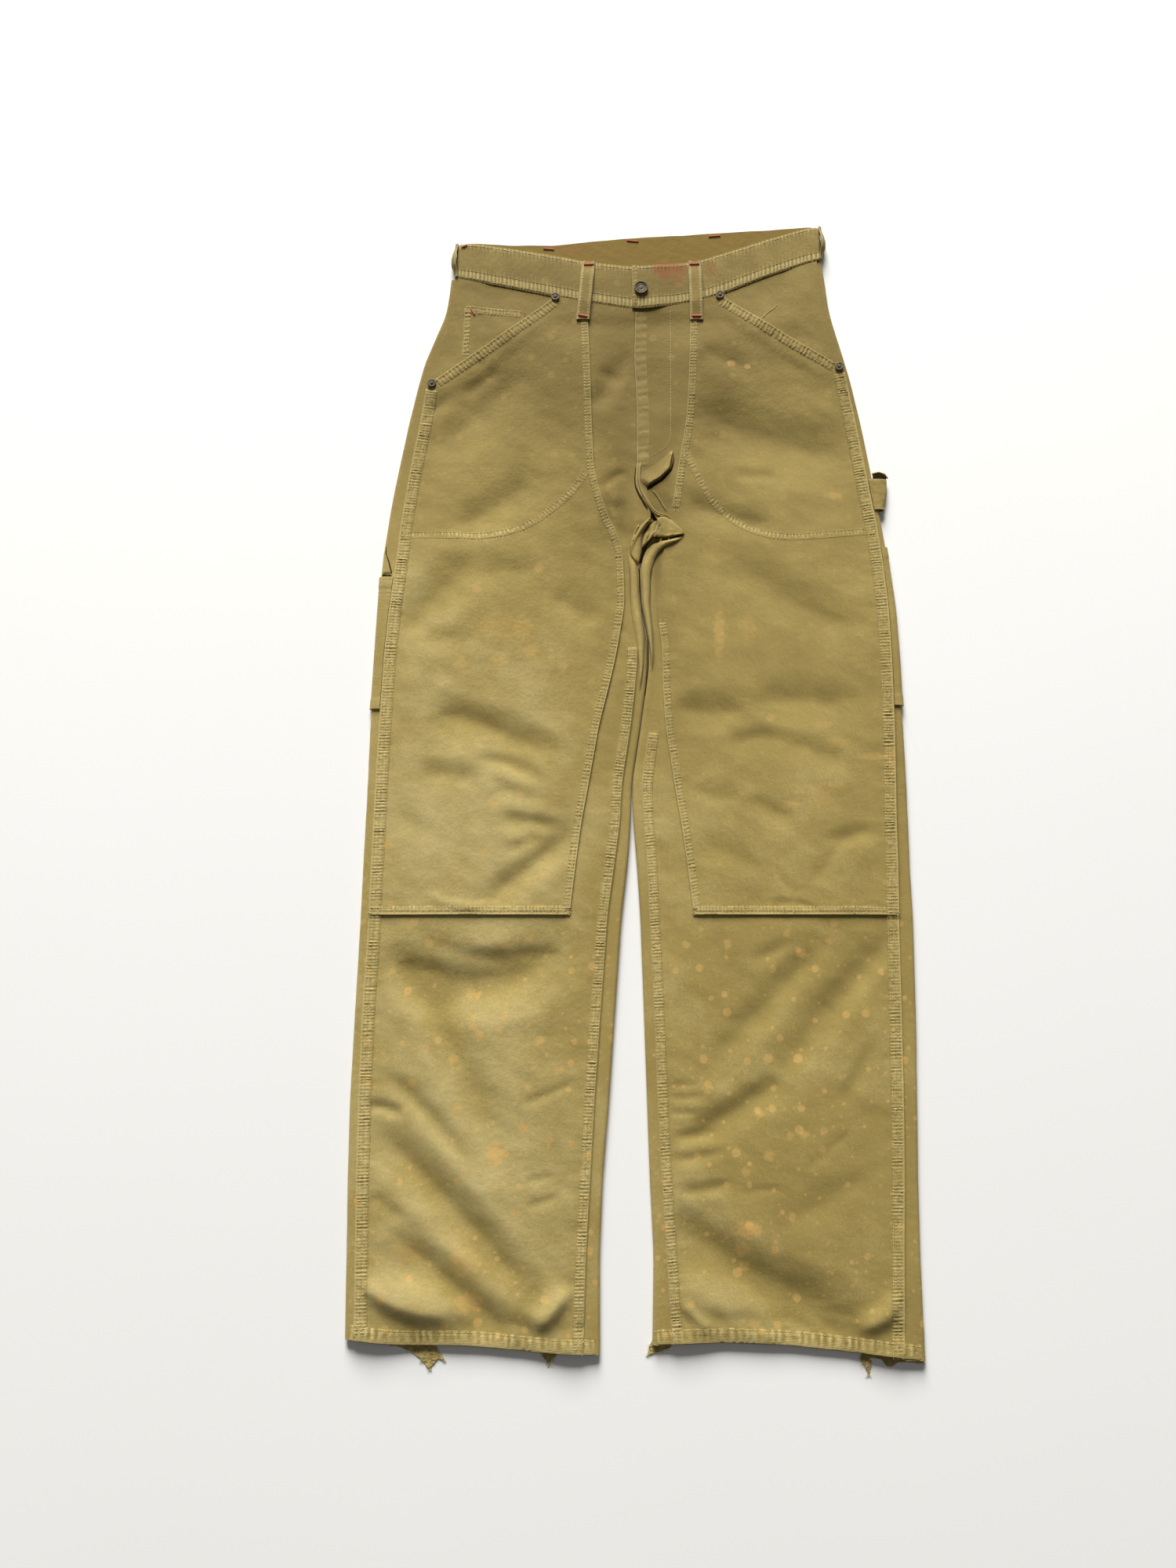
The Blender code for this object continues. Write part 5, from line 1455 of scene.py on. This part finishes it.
# Ribbons finished in deep_shade are painted shade: thin near-black sheets under the tool pocket's flap, in
# its mouth and in the hammer loop's mouth
TOOL_FOLDS = (
    Ribbon("tool_flap_R", "flap", "faded_drill", 0.2, 1.0, 2.0,
        ((-240.7, 209.6), (-242.9, 203), (-243.4, 196.2), (-243.2, 181)),
        ((-240.5, 208.9), (-240.4, 203), (-237.6, 194.9), (-234.4, 182.2))),
    Ribbon("tool_flap_shade_R", "flap", "deep_shade", 0.05, 0.2, 2.0,
        ((-240.5, 210.9), (-240.4, 203), (-237.6, 194.9), (-234.4, 182.2)),
        ((-239.7, 210.9), (-239.5, 203), (-236.6, 195.6), (-233.4, 183.4))),
    Ribbon("tool_mouth_R", "flap", "deep_shade", 0.05, 0.3, 3.0,
        ((-243.4, 182.6), (-238, 181.6), (-234, 182)),
        ((-243.4, 180), (-238, 179.4), (-234, 179.8))),
    Ribbon("hammer_mouth", "flap", "deep_shade", 0.2, 0.4, 6.2,
        ((240.4, 279.6), (246.5, 279.8), (254, 280.6)),
        ((240.4, 286), (246.7, 287.4), (254, 283.6))),
    Ribbon("hammer_rim", "lobe", "trim_drill", 0.2, 1.0, 6.2,
        ((239.6, 285.4), (246.7, 286.9), (252, 285), (255, 281)),
        ((239.6, 287), (246.7, 288.7), (253, 286.4), (256, 281.4))),
)


def shape_of(kind, share):
    """Cross-section of a ribbon, from 0 at its edges to 1."""
    if kind == "lobe":
        return np.sqrt(np.clip(np.sin(math.pi * share), 0.0, 1.0))
    if kind == "lip":
        return smooth(share / 0.92) * smooth((1.0 - share) / 0.04)
    if kind == "twin":
        return np.abs(np.sin(2 * math.pi * share)) ** 0.6 + 0.15 * np.sin(math.pi * share)
    return smooth(share / 0.1) * smooth((1.0 - share) / 0.1)


def guide(points, rows):
    """Even, slightly rounded points along a line."""
    points = np.array(points)
    lengths = np.concatenate([[0.0], np.cumsum(np.hypot(*np.diff(points, axis=0).T))])
    at = np.linspace(0.0, lengths[-1], rows)
    reach = max(1, rows // 24)
    return np.stack([soften(np.interp(at, lengths, points[:, k]), reach) for k in range(2)], axis=-1)


RIBBON_GRID = (44, 14)


def make_ribbon(ribbon, ground, prefix="fold_"):
    """Small fold or flap between its two edges."""
    rows, columns = RIBBON_GRID
    share = np.linspace(0.0, 1.0, columns)
    left, right = guide(ribbon.left, rows), guide(ribbon.right, rows)
    points = left[:, None] + (right - left)[:, None] * share[None, :, None]
    if ground is None:
        base = np.full(points.shape[:2], ribbon.lowest)
    else:
        base = np.array([[ground.at(px, py)[0] for px, py in row] for row in points])
        base = np.apply_along_axis(soften, 0, np.maximum(base, ribbon.lowest), 2)
    section = np.broadcast_to(shape_of(ribbon.shape, share)[None, :], base.shape)
    x, y = points[..., 0], points[..., 1]
    if ribbon.shape == "rag":
        wrinkle = 0.6 * ripple(x, y * 0.5, 3.0, 5.0) + 0.4 * ripple(x, y, 1.6, 8.0)
        height = base + ribbon.rise * np.clip(0.75 + wrinkle, 0.25, 2.0)
        jag = 0.7 * ripple(x, y, 1.4, 2.0)
        outer = np.stack([x + jag, y + 0.5 * jag, height], axis=-1)
        inner = np.stack([x + jag, y + 0.5 * jag, base], axis=-1)
        relief = wrinkle
    else:
        run = np.linspace(0.0, 1.0, rows)
        ends = smooth(run * 8.0 + 0.1) * smooth(run[::-1] * 8.0 + 0.1)
        height = base + (ribbon.lift + ribbon.rise * section) * ends[:, None] - 0.25 * (section < 0.01)
        height = height + 0.12 * ripple(x, y, 4.0, 6.0) * section
        outer = raised(points, height)
        inner = raised(points, base - 0.45)
        # Paler along a fold's middle and darker towards its edges: painted shade
        relief = 0.7 * (section - 0.6)
    item = wall(prefix + ribbon.name, inner, outer, material(ribbon.finish), relief=relief,
                wear=0.25 * section if ribbon.finish == "trim_drill" else None)
    return fit(item), points


def strands(name, lines, radius, finish):
    """Thin round threads along lines of (x, y, z) points."""
    curve = bpy.data.curves.new(name, "CURVE")
    curve.dimensions = "3D"
    curve.bevel_depth = radius * MM
    curve.bevel_resolution = 0
    for line in lines:
        spline = curve.splines.new("POLY")
        spline.points.add(len(line) - 1)
        places = (np.array(line) - np.array(CENTRE)) * MM
        spline.points.foreach_set("co", np.concatenate([places, np.ones((len(line), 1))], axis=1).ravel())
    holder = bpy.data.objects.new(name, curve)
    data = bpy.data.meshes.new_from_object(holder)
    bpy.data.objects.remove(holder)
    bpy.data.curves.remove(curve)
    data.materials.clear()
    return fit(show(name, data, material(finish)))


def loose_ends(points, count, reach, seed):
    """Short threads that leave the lower edge of a grid of points."""
    lines = []
    rim = np.concatenate([points[len(points) // 3:, 0], points[-1], points[len(points) // 3:, -1]])
    middle = points.reshape(-1, 2).mean(axis=0)
    for number in range(count):
        place, stretch, sway = (0.5 + 0.5 * ripple([number * 1.7 + seed * 5.3], [kind * 9.1], 1.0)[0]
                                for kind in (1, 2, 3))
        start = rim[int(np.clip(place * 1.8 - 0.4, 0.0, 1.0) * (len(rim) - 1))]
        away = start - middle
        away = away / (np.linalg.norm(away) + 1e-6) + np.array([0.0, -0.5])
        length = reach * (0.4 + stretch)
        bend = np.array([-away[1], away[0]]) * (sway - 0.5) * 2.5
        t = np.linspace(-0.4, 1.0, 7)[:, None]
        path = start + away * length * t * 0.7 + bend * length * t * t
        lines.append(np.concatenate([path, np.full((7, 1), 0.6)], axis=1))
    return lines


class PANTS_OT_crotch(bpy.types.Operator):
    """Make the folds and flaps where the legs part, and the end of the fly"""

    bl_idname = "pants.crotch"
    bl_label = "Folds at the crotch"

    def execute(self, context):
        made = [piece(kind + leg.name) for leg in LEGS
                for kind in ("cloth_back_panel_", "cloth_front_panel_", "cloth_double_front_")]
        for ribbon in CROTCH_FOLDS:
            item, _ = make_ribbon(ribbon, Ground(made))
            made.append(item)
        return {"FINISHED"}


TAG_THREADS = 16
TAG_THREAD_LENGTH = 3.2
TAG_THREAD_RADIUS = 0.16


class PANTS_OT_frays(bpy.types.Operator):
    """Make the torn tags of the back hem, with their loose threads"""

    bl_idname = "pants.frays"
    bl_label = "Torn hem tags"

    def execute(self, context):
        nodes = {"R_outer": "hem_fray_R_outer", "R_inner": "hem_fray_R_inner", "L_inner": "hem_fray_L_inner",
                 "L_tag": "hem_fray_L_outer"}
        lines = []
        for number, ribbon in enumerate(TAGS):
            item, points = make_ribbon(ribbon, None, "cloth_tag_")
            if ribbon.name in nodes:
                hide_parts(nodes[ribbon.name])
            lines += loose_ends(points, TAG_THREADS, TAG_THREAD_LENGTH, number)
        strands("tag_threads", lines, TAG_THREAD_RADIUS, "sewing_thread")
        return {"FINISHED"}


class PANTS_OT_sides(bpy.types.Operator):
    """Make the side loops, the tool pockets and the hammer loop"""

    bl_idname = "pants.sides"
    bl_label = "Side loops, tool pockets and hammer loop"

    def execute(self, context):
        for leg in LEGS:
            make_side_loop(leg, material("trim_drill"))
        make_tool_pocket(RIGHT, 47.0, 179.5, material("faded_drill"))
        make_tool_pocket(LEFT, 51.0, 210.0, material("faded_drill"))
        make_hammer_loop(material("trim_drill"))
        ground = cloth_ground()
        for ribbon in TOOL_FOLDS:
            make_ribbon(ribbon, ground)
        return {"FINISHED"}


def make_side_loop(leg, finish):
    """Belt loop on the folded side of the waistband, standing out from it like a bridge."""
    end = BAND_ENDS[0] if leg.side < 0 else BAND_ENDS[1]
    back = layer() + BAND_THICKNESS / 2
    radius = (BAND_SIDE - back) / 2 + BAND_THICKNESS / 2
    centre = end - leg.side * radius
    height = (BAND_SIDE + back) / 2
    low, top = (float(edge) for edge in band_edges(end, 0.5))
    share = np.linspace(0.04, 1.02, 44)
    stand = np.interp(share, (0.0, 0.12, 0.2, 0.36, 0.55, 0.75, 0.88, 1.02),
                      (0.3, 0.4, 1.2, 4.2, 4.6, 3.0, 1.0, 0.4))
    angle = np.radians(np.linspace(-34.0, 66.0, 16))
    y = np.broadcast_to(mix(low, top, share)[:, None], (44, 16))
    grids = []
    for extra in (0.0, thick()):
        reach = (radius + soften(stand, 2) + extra)[:, None]
        grids.append(np.stack([centre + leg.side * reach * np.cos(angle)[None, :], y,
                               height + reach * np.sin(angle)[None, :]], axis=-1))
    rim = np.broadcast_to((np.abs(np.linspace(-1, 1, 16)) > 0.75)[None, :] * 0.6, (44, 16))
    item = wall("cloth_belt_loop_side_" + leg.name, *grids, finish, wear=rim)
    flat = np.stack([np.broadcast_to(angle[None, :] * (radius + 3.0), (44, 16)), y], axis=-1)
    declare(item, flat, "belt_loop_side_" + leg.name)


def make_tool_pocket(leg, low_y, top_y, finish):
    """Tool pocket on the back panel, where it turns over the leg's outer edge."""
    half = thick() / 2
    turn = np.radians(np.linspace(180.0, 56.0, 18))
    y = np.linspace(low_y, top_y, 90)
    centre = leg.x(y, "edge") - leg.side * (ROLL + half)
    end = leg.x(y, "seam") + leg.side * 0.8
    near_end = np.minimum(y - low_y, top_y - y)
    hem = 0.5 * smooth((12.0 - near_end) / 3.0)
    wave = np.sin(y * 2 * math.pi / 3.4 + 2.0 * ripple(y, y * 0, 9.0))
    rung = 0.22 * wave * (0.5 + ripple(y, y * 0, 14.0, 2.0))
    grids = []
    for extra in (0.0, 1.0):
        reach = ROLL + half + 0.3 + extra * (thick() + hem)
        swell = extra * rung
        x = [end]
        z = [ROLL + half + reach + swell]
        for angle in turn:
            x.append(centre + leg.side * (reach + swell) * math.sin(angle))
            z.append(ROLL + half - (reach + swell) * math.cos(angle))
        grids.append(np.stack([np.stack(x, 1), np.repeat(y[:, None], 19, 1), np.stack(z, 1)], axis=-1))
    # Relief from the puckers: darker between them, which is painted shade
    item = wall("cloth_tool_pocket_" + leg.name, *grids, finish, relief=np.repeat(rung[:, None] * 3, 19, 1),
                wear=np.repeat(0.25 * hem[:, None], 19, 1))
    across = np.broadcast_to(np.linspace(0.0, 14.0, 19)[None, :], (90, 19))
    flat = np.stack([across, grids[1][..., 1]], axis=-1)
    declare(item, flat, "tool_pocket_" + leg.name, ["cloth_back_panel_" + leg.name])


def make_hammer_loop(finish):
    """Hammer loop: a strap that stands out from the wearer's left side."""
    low, high = 1.25, 6.5
    y = np.linspace(249.0, 280.5, 34)
    part = (y - y[0]) / (y[-1] - y[0])
    wall_x = mix(250.6, 253.4, smooth(part * 1.6))
    edge, seam = LEFT.x(y, "edge"), LEFT.x(y, "seam")
    corner = 1.8
    path = ((seam + 1.0, high, 0.0, 1.0), (edge, high + 0.5, 0.0, 1.0), (wall_x - corner, high, 0.38, 0.92),
            (wall_x, high - corner, 0.92, 0.38), (wall_x, low + corner, 0.92, -0.38),
            (wall_x - corner, low, 0.38, -0.92), (edge + 0.5, low, 0.0, -1.0))
    stops = np.arange(len(path))
    at = np.linspace(0, len(path) - 1, 43)
    grids = []
    for extra in (0.0, 1.0):
        rows = []
        for index in range(len(y)):
            ring = np.array([[np.broadcast_to(part_, y.shape)[index] for part_ in stop] for stop in path])
            line = np.stack([soften(np.interp(at, stops, ring[:, k]), 2) for k in range(4)], axis=-1)
            crease = 0.25 * ripple(line[:, 0], np.full(43, y[index]), 4.0, 3.0)
            out = extra * (thick() + crease)
            rows.append(np.stack([line[:, 0] + line[:, 2] * out, np.full(43, y[index]),
                                  line[:, 1] + line[:, 3] * out], axis=-1))
        grids.append(np.stack(rows))
    rim = np.repeat(((part < 0.06) | (part > 0.94))[:, None] * 0.5, 43, 1)
    item = wall("cloth_hammer_loop_L", *grids, finish, wear=rim,
                relief=0.4 * ripple(grids[1][..., 0], grids[1][..., 1], 5.0, 3.0))
    across = np.broadcast_to(np.linspace(0.0, 36.0, 43)[None, :], (34, 43))
    flat = np.stack([across, grids[1][..., 1]], axis=-1)
    declare(item, flat, "hammer_loop_L")


def strap(name, rows, width, node, mat):
    """Make a strap from rows (x, y, z) of its underside's middle, widened along x, with rolled edges."""
    rows = np.asarray(rows, dtype=float)
    lengths = np.concatenate([[0.0], np.cumsum(np.linalg.norm(np.diff(rows, axis=0), axis=1))])
    at = np.linspace(0.0, lengths[-1], int(lengths[-1] / 1.2))
    line = np.stack([np.interp(at, lengths, rows[:, k]) for k in range(3)], axis=-1)
    line[:, 2] = soften(line[:, 2], 3)
    spread = np.array([-0.5, -0.46, -0.36, -0.24, -0.1, 0.1, 0.24, 0.36, 0.46, 0.5])
    lift = np.array([0.0, 0.85, 1.15, 0.9, 1.0, 1.0, 0.9, 1.15, 0.85, 0.0]) * thick()
    waver = 1.0 + 0.05 * ripple(at, at * 0, 14.0, 3.0)
    x = line[:, None, 0] + spread[None, :] * width * waver[:, None]
    y = np.repeat(line[:, None, 1], len(spread), 1)
    z = np.repeat(line[:, None, 2], len(spread), 1)
    rib = 0.10 * np.sin(at * 2 * math.pi / 3.2)[:, None] * (np.abs(spread) > 0.2)[None, :]
    inner = np.stack([x, y, z], axis=-1)
    outer = np.stack([x, y, z + lift[None, :] + rib + 0.05], axis=-1)
    # Relief from the ribs: darker between them, which is painted shade
    item = wall(name, inner, outer, mat, relief=np.broadcast_to(rib * 4, x.shape),
                wear=np.broadcast_to((np.abs(spread) > 0.3)[None, :] * 0.55, x.shape))
    flat = np.stack([x, y], axis=-1)
    declare(item, flat, node)


def bartack(centre, along, length, width, ground, rise=0.9):
    """Ribbed bar of close thread at a point, turned along a direction: grids for a wall."""
    heading = np.array(along, dtype=float)
    heading = heading / np.linalg.norm(heading)
    side = np.array([-heading[1], heading[0]])
    at = np.linspace(-0.5, 0.5, 30) * length
    over = np.array([-0.5, -0.3, 0.0, 0.3, 0.5]) * width
    points = np.array(centre)[None, None, :] + at[:, None, None] * heading + over[None, :, None] * side
    base = np.array([[ground.at(px, py)[0] for px, py in row] for row in points])
    base = np.full_like(base, base.max()) * 0.6 + base * 0.4
    dome = np.array([0.0, 0.85, 1.0, 0.85, 0.0])[None, :] * rise
    rib = 0.12 * np.sin(at * 2 * math.pi / 1.1)[:, None] * (dome > 0)
    return raised(points, base - 0.3), raised(points, base + 0.1 + dome + rib)


# Upper and lower end of each front belt loop
FRONT_LOOPS = {"R": ((-41.0, 515.0), (-47.0, 450.0)), "L": ((67.0, 515.5), (68.0, 450.0))}

# How far a front belt loop stands above the cloth, by share of its length from its foot
LOOP_RISE = ((0.0, 0.35), (0.1, 0.35), (0.16, 0.9), (0.3, 2.2), (0.55, 2.6), (0.75, 2.2), (0.88, 0.9),
             (0.93, 0.35), (1.0, 0.3))

# Middle, direction, length and width of each bartack
BARTACKS = (
    ((-41.0, 511.0), (1.0, 0.04), 10.0, 2.7),
    ((-47.0, 453.5), (1.0, -0.2), 9.5, 2.7),
    ((66.5, 511.5), (1.0, 0.05), 10.0, 2.7),
    ((68.0, 453.5), (1.0, 0.0), 10.0, 2.7),
    ((-158.5, 458.0), (0.6, -1.0), 8.0, 1.8),
    ((-82.0, 531.0), (1.0, -0.1), 11.0, 1.9),
    ((4.0, 540.0), (1.0, -0.1), 12.0, 1.9),
    ((88.0, 545.5), (1.0, 0.1), 12.0, 1.9),
    ((-168.0, 531.5), (1.0, 0.4), 6.0, 1.6),
)


class PANTS_OT_loops(bpy.types.Operator):
    """Make the front belt loops, the bartacks and the loose thread at the pocket"""

    bl_idname = "pants.loops"
    bl_label = "Front loops and bartacks"

    def execute(self, context):
        ground = cloth_ground()
        for leg in LEGS:
            head, foot = FRONT_LOOPS[leg.name]
            rows = []
            for share, rise in LOOP_RISE:
                x, y = mix(foot[0], head[0], share), mix(foot[1], head[1], share)
                base = max(ground.at(x + dx, y + dy)[0] for dx in (-6.0, 0.0, 6.0) for dy in (-4.0, 0.0, 4.0)
                           if y + dy < head[1] - 1.0)
                rows.append((x, y, base + rise))
            strap("cloth_belt_loop_front_" + leg.name, rows, 13.5, "belt_loop_front_" + leg.name,
                  material("trim_drill"))
        loops = Ground([piece("cloth_" + name) for name in (
            "belt_loop_front_R", "belt_loop_front_L", "waistband", "watch_pocket", "pocket_facing_R")])
        for number, (centre, along, length, width) in enumerate(BARTACKS):
            inner, outer = bartack(centre, along, length, width, loops)
            fit(wall(f"bartack_{number + 1}", inner, outer, material("bartack_thread")))
        rows = []
        for head, foot in FRONT_LOOPS.values():
            path = np.array([(foot[0], 451.0), (head[0], 514.0)])
            rows += [(path, 4.3), (path, -4.3)]
        sew("sewing_belt_loops", rows, loops, material("sewing_thread"))
        path = curve_points((97.0, 458.0), (122.0, 430.0), (150.0, 468.0), 30)
        path = path + np.stack([0.0 * path[:, 0], 1.5 * ripple(path[:, 0], path[:, 1], 11.0)], axis=-1)
        facing = Ground([piece("cloth_pocket_facing_L"), piece("cloth_front_panel_L")])
        line = [(px, py, facing.at(px, py)[0] + 0.35) for px, py in path]
        strands("loose_thread", [line], 0.3, "sewing_thread")
        return {"FINISHED"}


# Half outlines of the metal pieces, from the axis on the cloth to the axis on top: radius, height
RIVET = (
    (0, 0), (3.9, 0), (4.3, 0.15), (4.4, 0.45), (4.2, 0.8), (3.6, 1.05), (3.0, 1.0), (2.5, 0.7),
    (2.1, 0.62), (1.75, 0.75), (1.6, 1.2), (1.2, 1.55), (0.5, 1.65), (0, 1.66),
)
BUTTON = (
    (0, 0), (4.6, 0), (4.8, 0.8), (6.3, 0.9), (6.9, 1.3), (7.0, 1.8), (6.8, 2.3), (6.3, 2.6), (5.7, 2.55),
    (5.2, 2.1), (4.6, 1.8), (4.2, 1.95), (3.9, 2.1), (3.5, 1.9), (2.4, 1.75), (2.0, 2.0), (1.6, 2.15),
    (0.8, 2.1), (0, 2.2),
)
METAL_PIECES = {"rivet_top_R": RIVET, "rivet_low_R": RIVET, "rivet_top_L": RIVET, "rivet_low_L": RIVET,
                "waist_button": BUTTON}


class PANTS_OT_metal(bpy.types.Operator):
    """Make the waist button and the rivets"""

    bl_idname = "pants.metal"
    bl_label = "Button and rivets"

    def execute(self, context):
        metal = material("rubbed_metal")
        for name, profile in METAL_PIECES.items():
            low, high = (Vector(corner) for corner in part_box(name))
            centre = Vector(((low.x + high.x) / 2, (low.y + high.y) / 2, low.z))
            item = turned("metal_" + name, profile, centre, metal)
            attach(item, BODY)
            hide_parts(name)
        return {"FINISHED"}


# Small pieces that belong to a sheet, by the start of the sheet's name
FITTINGS = {
    "cloth_front_panel_": ("outseam_", "inseam_", "slash_", "hem_"),
    "cloth_double_front_": ("double_edge_", "double_top_", "double_knee_", "pocket_bag_"),
}


class PANTS_OT_cuts(bpy.types.Operator):
    """Look up the seams and sewing on each cut sheet; nothing is kept"""

    bl_idname = "pants.cuts"
    bl_label = "Cuts"

    def execute(self, context):
        for cut in CUTS:
            label, side = cut.item.name[:-1], cut.item.name[-1]
            names = [kind + part + side for part in FITTINGS.get(label, ()) for kind in ("seam_", "sewing_")]
            fitted = [piece(name) for name in names if name in bpy.data.objects]
        return {"FINISHED"}


# Stage, in metres; the lamp stands far off on the waist's side, a little to the left
FLOOR_REACH = 4.0
FLOOR_DROP = 0.0004
SKY_COLOUR = (1.0, 0.99, 0.97, 1.0)
KEY_PLACE = (-1.1, 9.4, 4.5)
KEY_SIZE = 5.0
KEY_COLOUR = (1.0, 0.985, 0.955)
SENSOR_WIDTH = 36.0   # millimetres


class PANTS_OT_stage(bpy.types.Operator):
    """Make the floor, the lights and the camera, and finish the nodes that stay"""

    bl_idname = "pants.stage"
    bl_label = "Stage"

    def execute(self, context):
        settings = context.scene.pants_stage
        mesh = bmesh.new()
        bmesh.ops.create_grid(mesh, x_segments=1, y_segments=1, size=FLOOR_REACH)
        bmesh.ops.translate(mesh, verts=mesh.verts, vec=(0.0, 0.0, -FLOOR_DROP))
        finish_object("floor", mesh, floor_material())
        for name in ("belt_loop_back_R", "belt_loop_back_centre", "belt_loop_back_L"):
            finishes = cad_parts[name].data.materials
            finishes.clear()
            finishes.append(material("plain_drill"))
        world = bpy.data.worlds.new("soft_sky")
        world.use_nodes = True
        sky = world.node_tree.nodes["Background"]
        sky.inputs["Color"].default_value = SKY_COLOUR
        sky.inputs["Strength"].default_value = settings.fill
        context.scene.world = world
        context.scene.view_settings.view_transform = "Standard"
        lamp = bpy.data.lights.new("key", "AREA")
        lamp.energy = settings.key_power
        lamp.size = KEY_SIZE
        lamp.color = KEY_COLOUR
        key = bpy.data.objects.new("key", lamp)
        key.location = KEY_PLACE
        key.rotation_euler = (-key.location).to_track_quat("-Z", "Y").to_euler()
        context.scene.collection.objects.link(key)
        camera = bpy.data.objects.new("camera", bpy.data.cameras.new("camera"))
        camera.data.lens = settings.lens
        camera.data.sensor_width = SENSOR_WIDTH
        camera.location = (settings.aim_x, settings.aim_y - settings.distance * math.sin(settings.tilt),
                           settings.distance * math.cos(settings.tilt))
        camera.rotation_euler = (settings.tilt, 0.0, 0.0)
        context.scene.collection.objects.link(camera)
        context.scene.camera = camera
        return {"FINISHED"}


STEPS = ("materials", "backs", "fronts", "waist", "seams", "crotch", "loops", "sides", "frays", "metal",
         "cuts", "stage")


class PANTS_PT_panel(bpy.types.Panel):
    """Lists the pieces in the order in which they are made"""

    bl_idname = "PANTS_PT_panel"
    bl_label = "Carpenter pants"
    bl_space_type = "VIEW_3D"
    bl_region_type = "UI"
    bl_category = "Pants"

    def draw(self, context):
        for group in (context.scene.pants_cloth, context.scene.pants_stage):
            for key in group.bl_rna.properties.keys():
                if key not in ("rna_type", "name"):
                    self.layout.prop(group, key)
        for step in STEPS:
            self.layout.operator("pants." + step)


CLASSES = (PantsCloth, PantsStage, PANTS_OT_materials, PANTS_OT_backs, PANTS_OT_fronts, PANTS_OT_waist,
           PANTS_OT_seams, PANTS_OT_crotch, PANTS_OT_loops, PANTS_OT_sides, PANTS_OT_frays, PANTS_OT_metal,
           PANTS_OT_cuts, PANTS_OT_stage, PANTS_PT_panel)


def register():
    """Register the classes and the scene's settings."""
    for item in CLASSES:
        bpy.utils.register_class(item)
    bpy.types.Scene.pants_cloth = PointerProperty(type=PantsCloth)
    bpy.types.Scene.pants_stage = PointerProperty(type=PantsStage)


def unregister():
    """Undo register."""
    del bpy.types.Scene.pants_stage
    del bpy.types.Scene.pants_cloth
    for item in reversed(CLASSES):
        bpy.utils.unregister_class(item)


def main():
    """Make every piece."""
    register()
    for step in STEPS:
        getattr(bpy.ops.pants, step)()


if __name__ == "__main__":
    main()
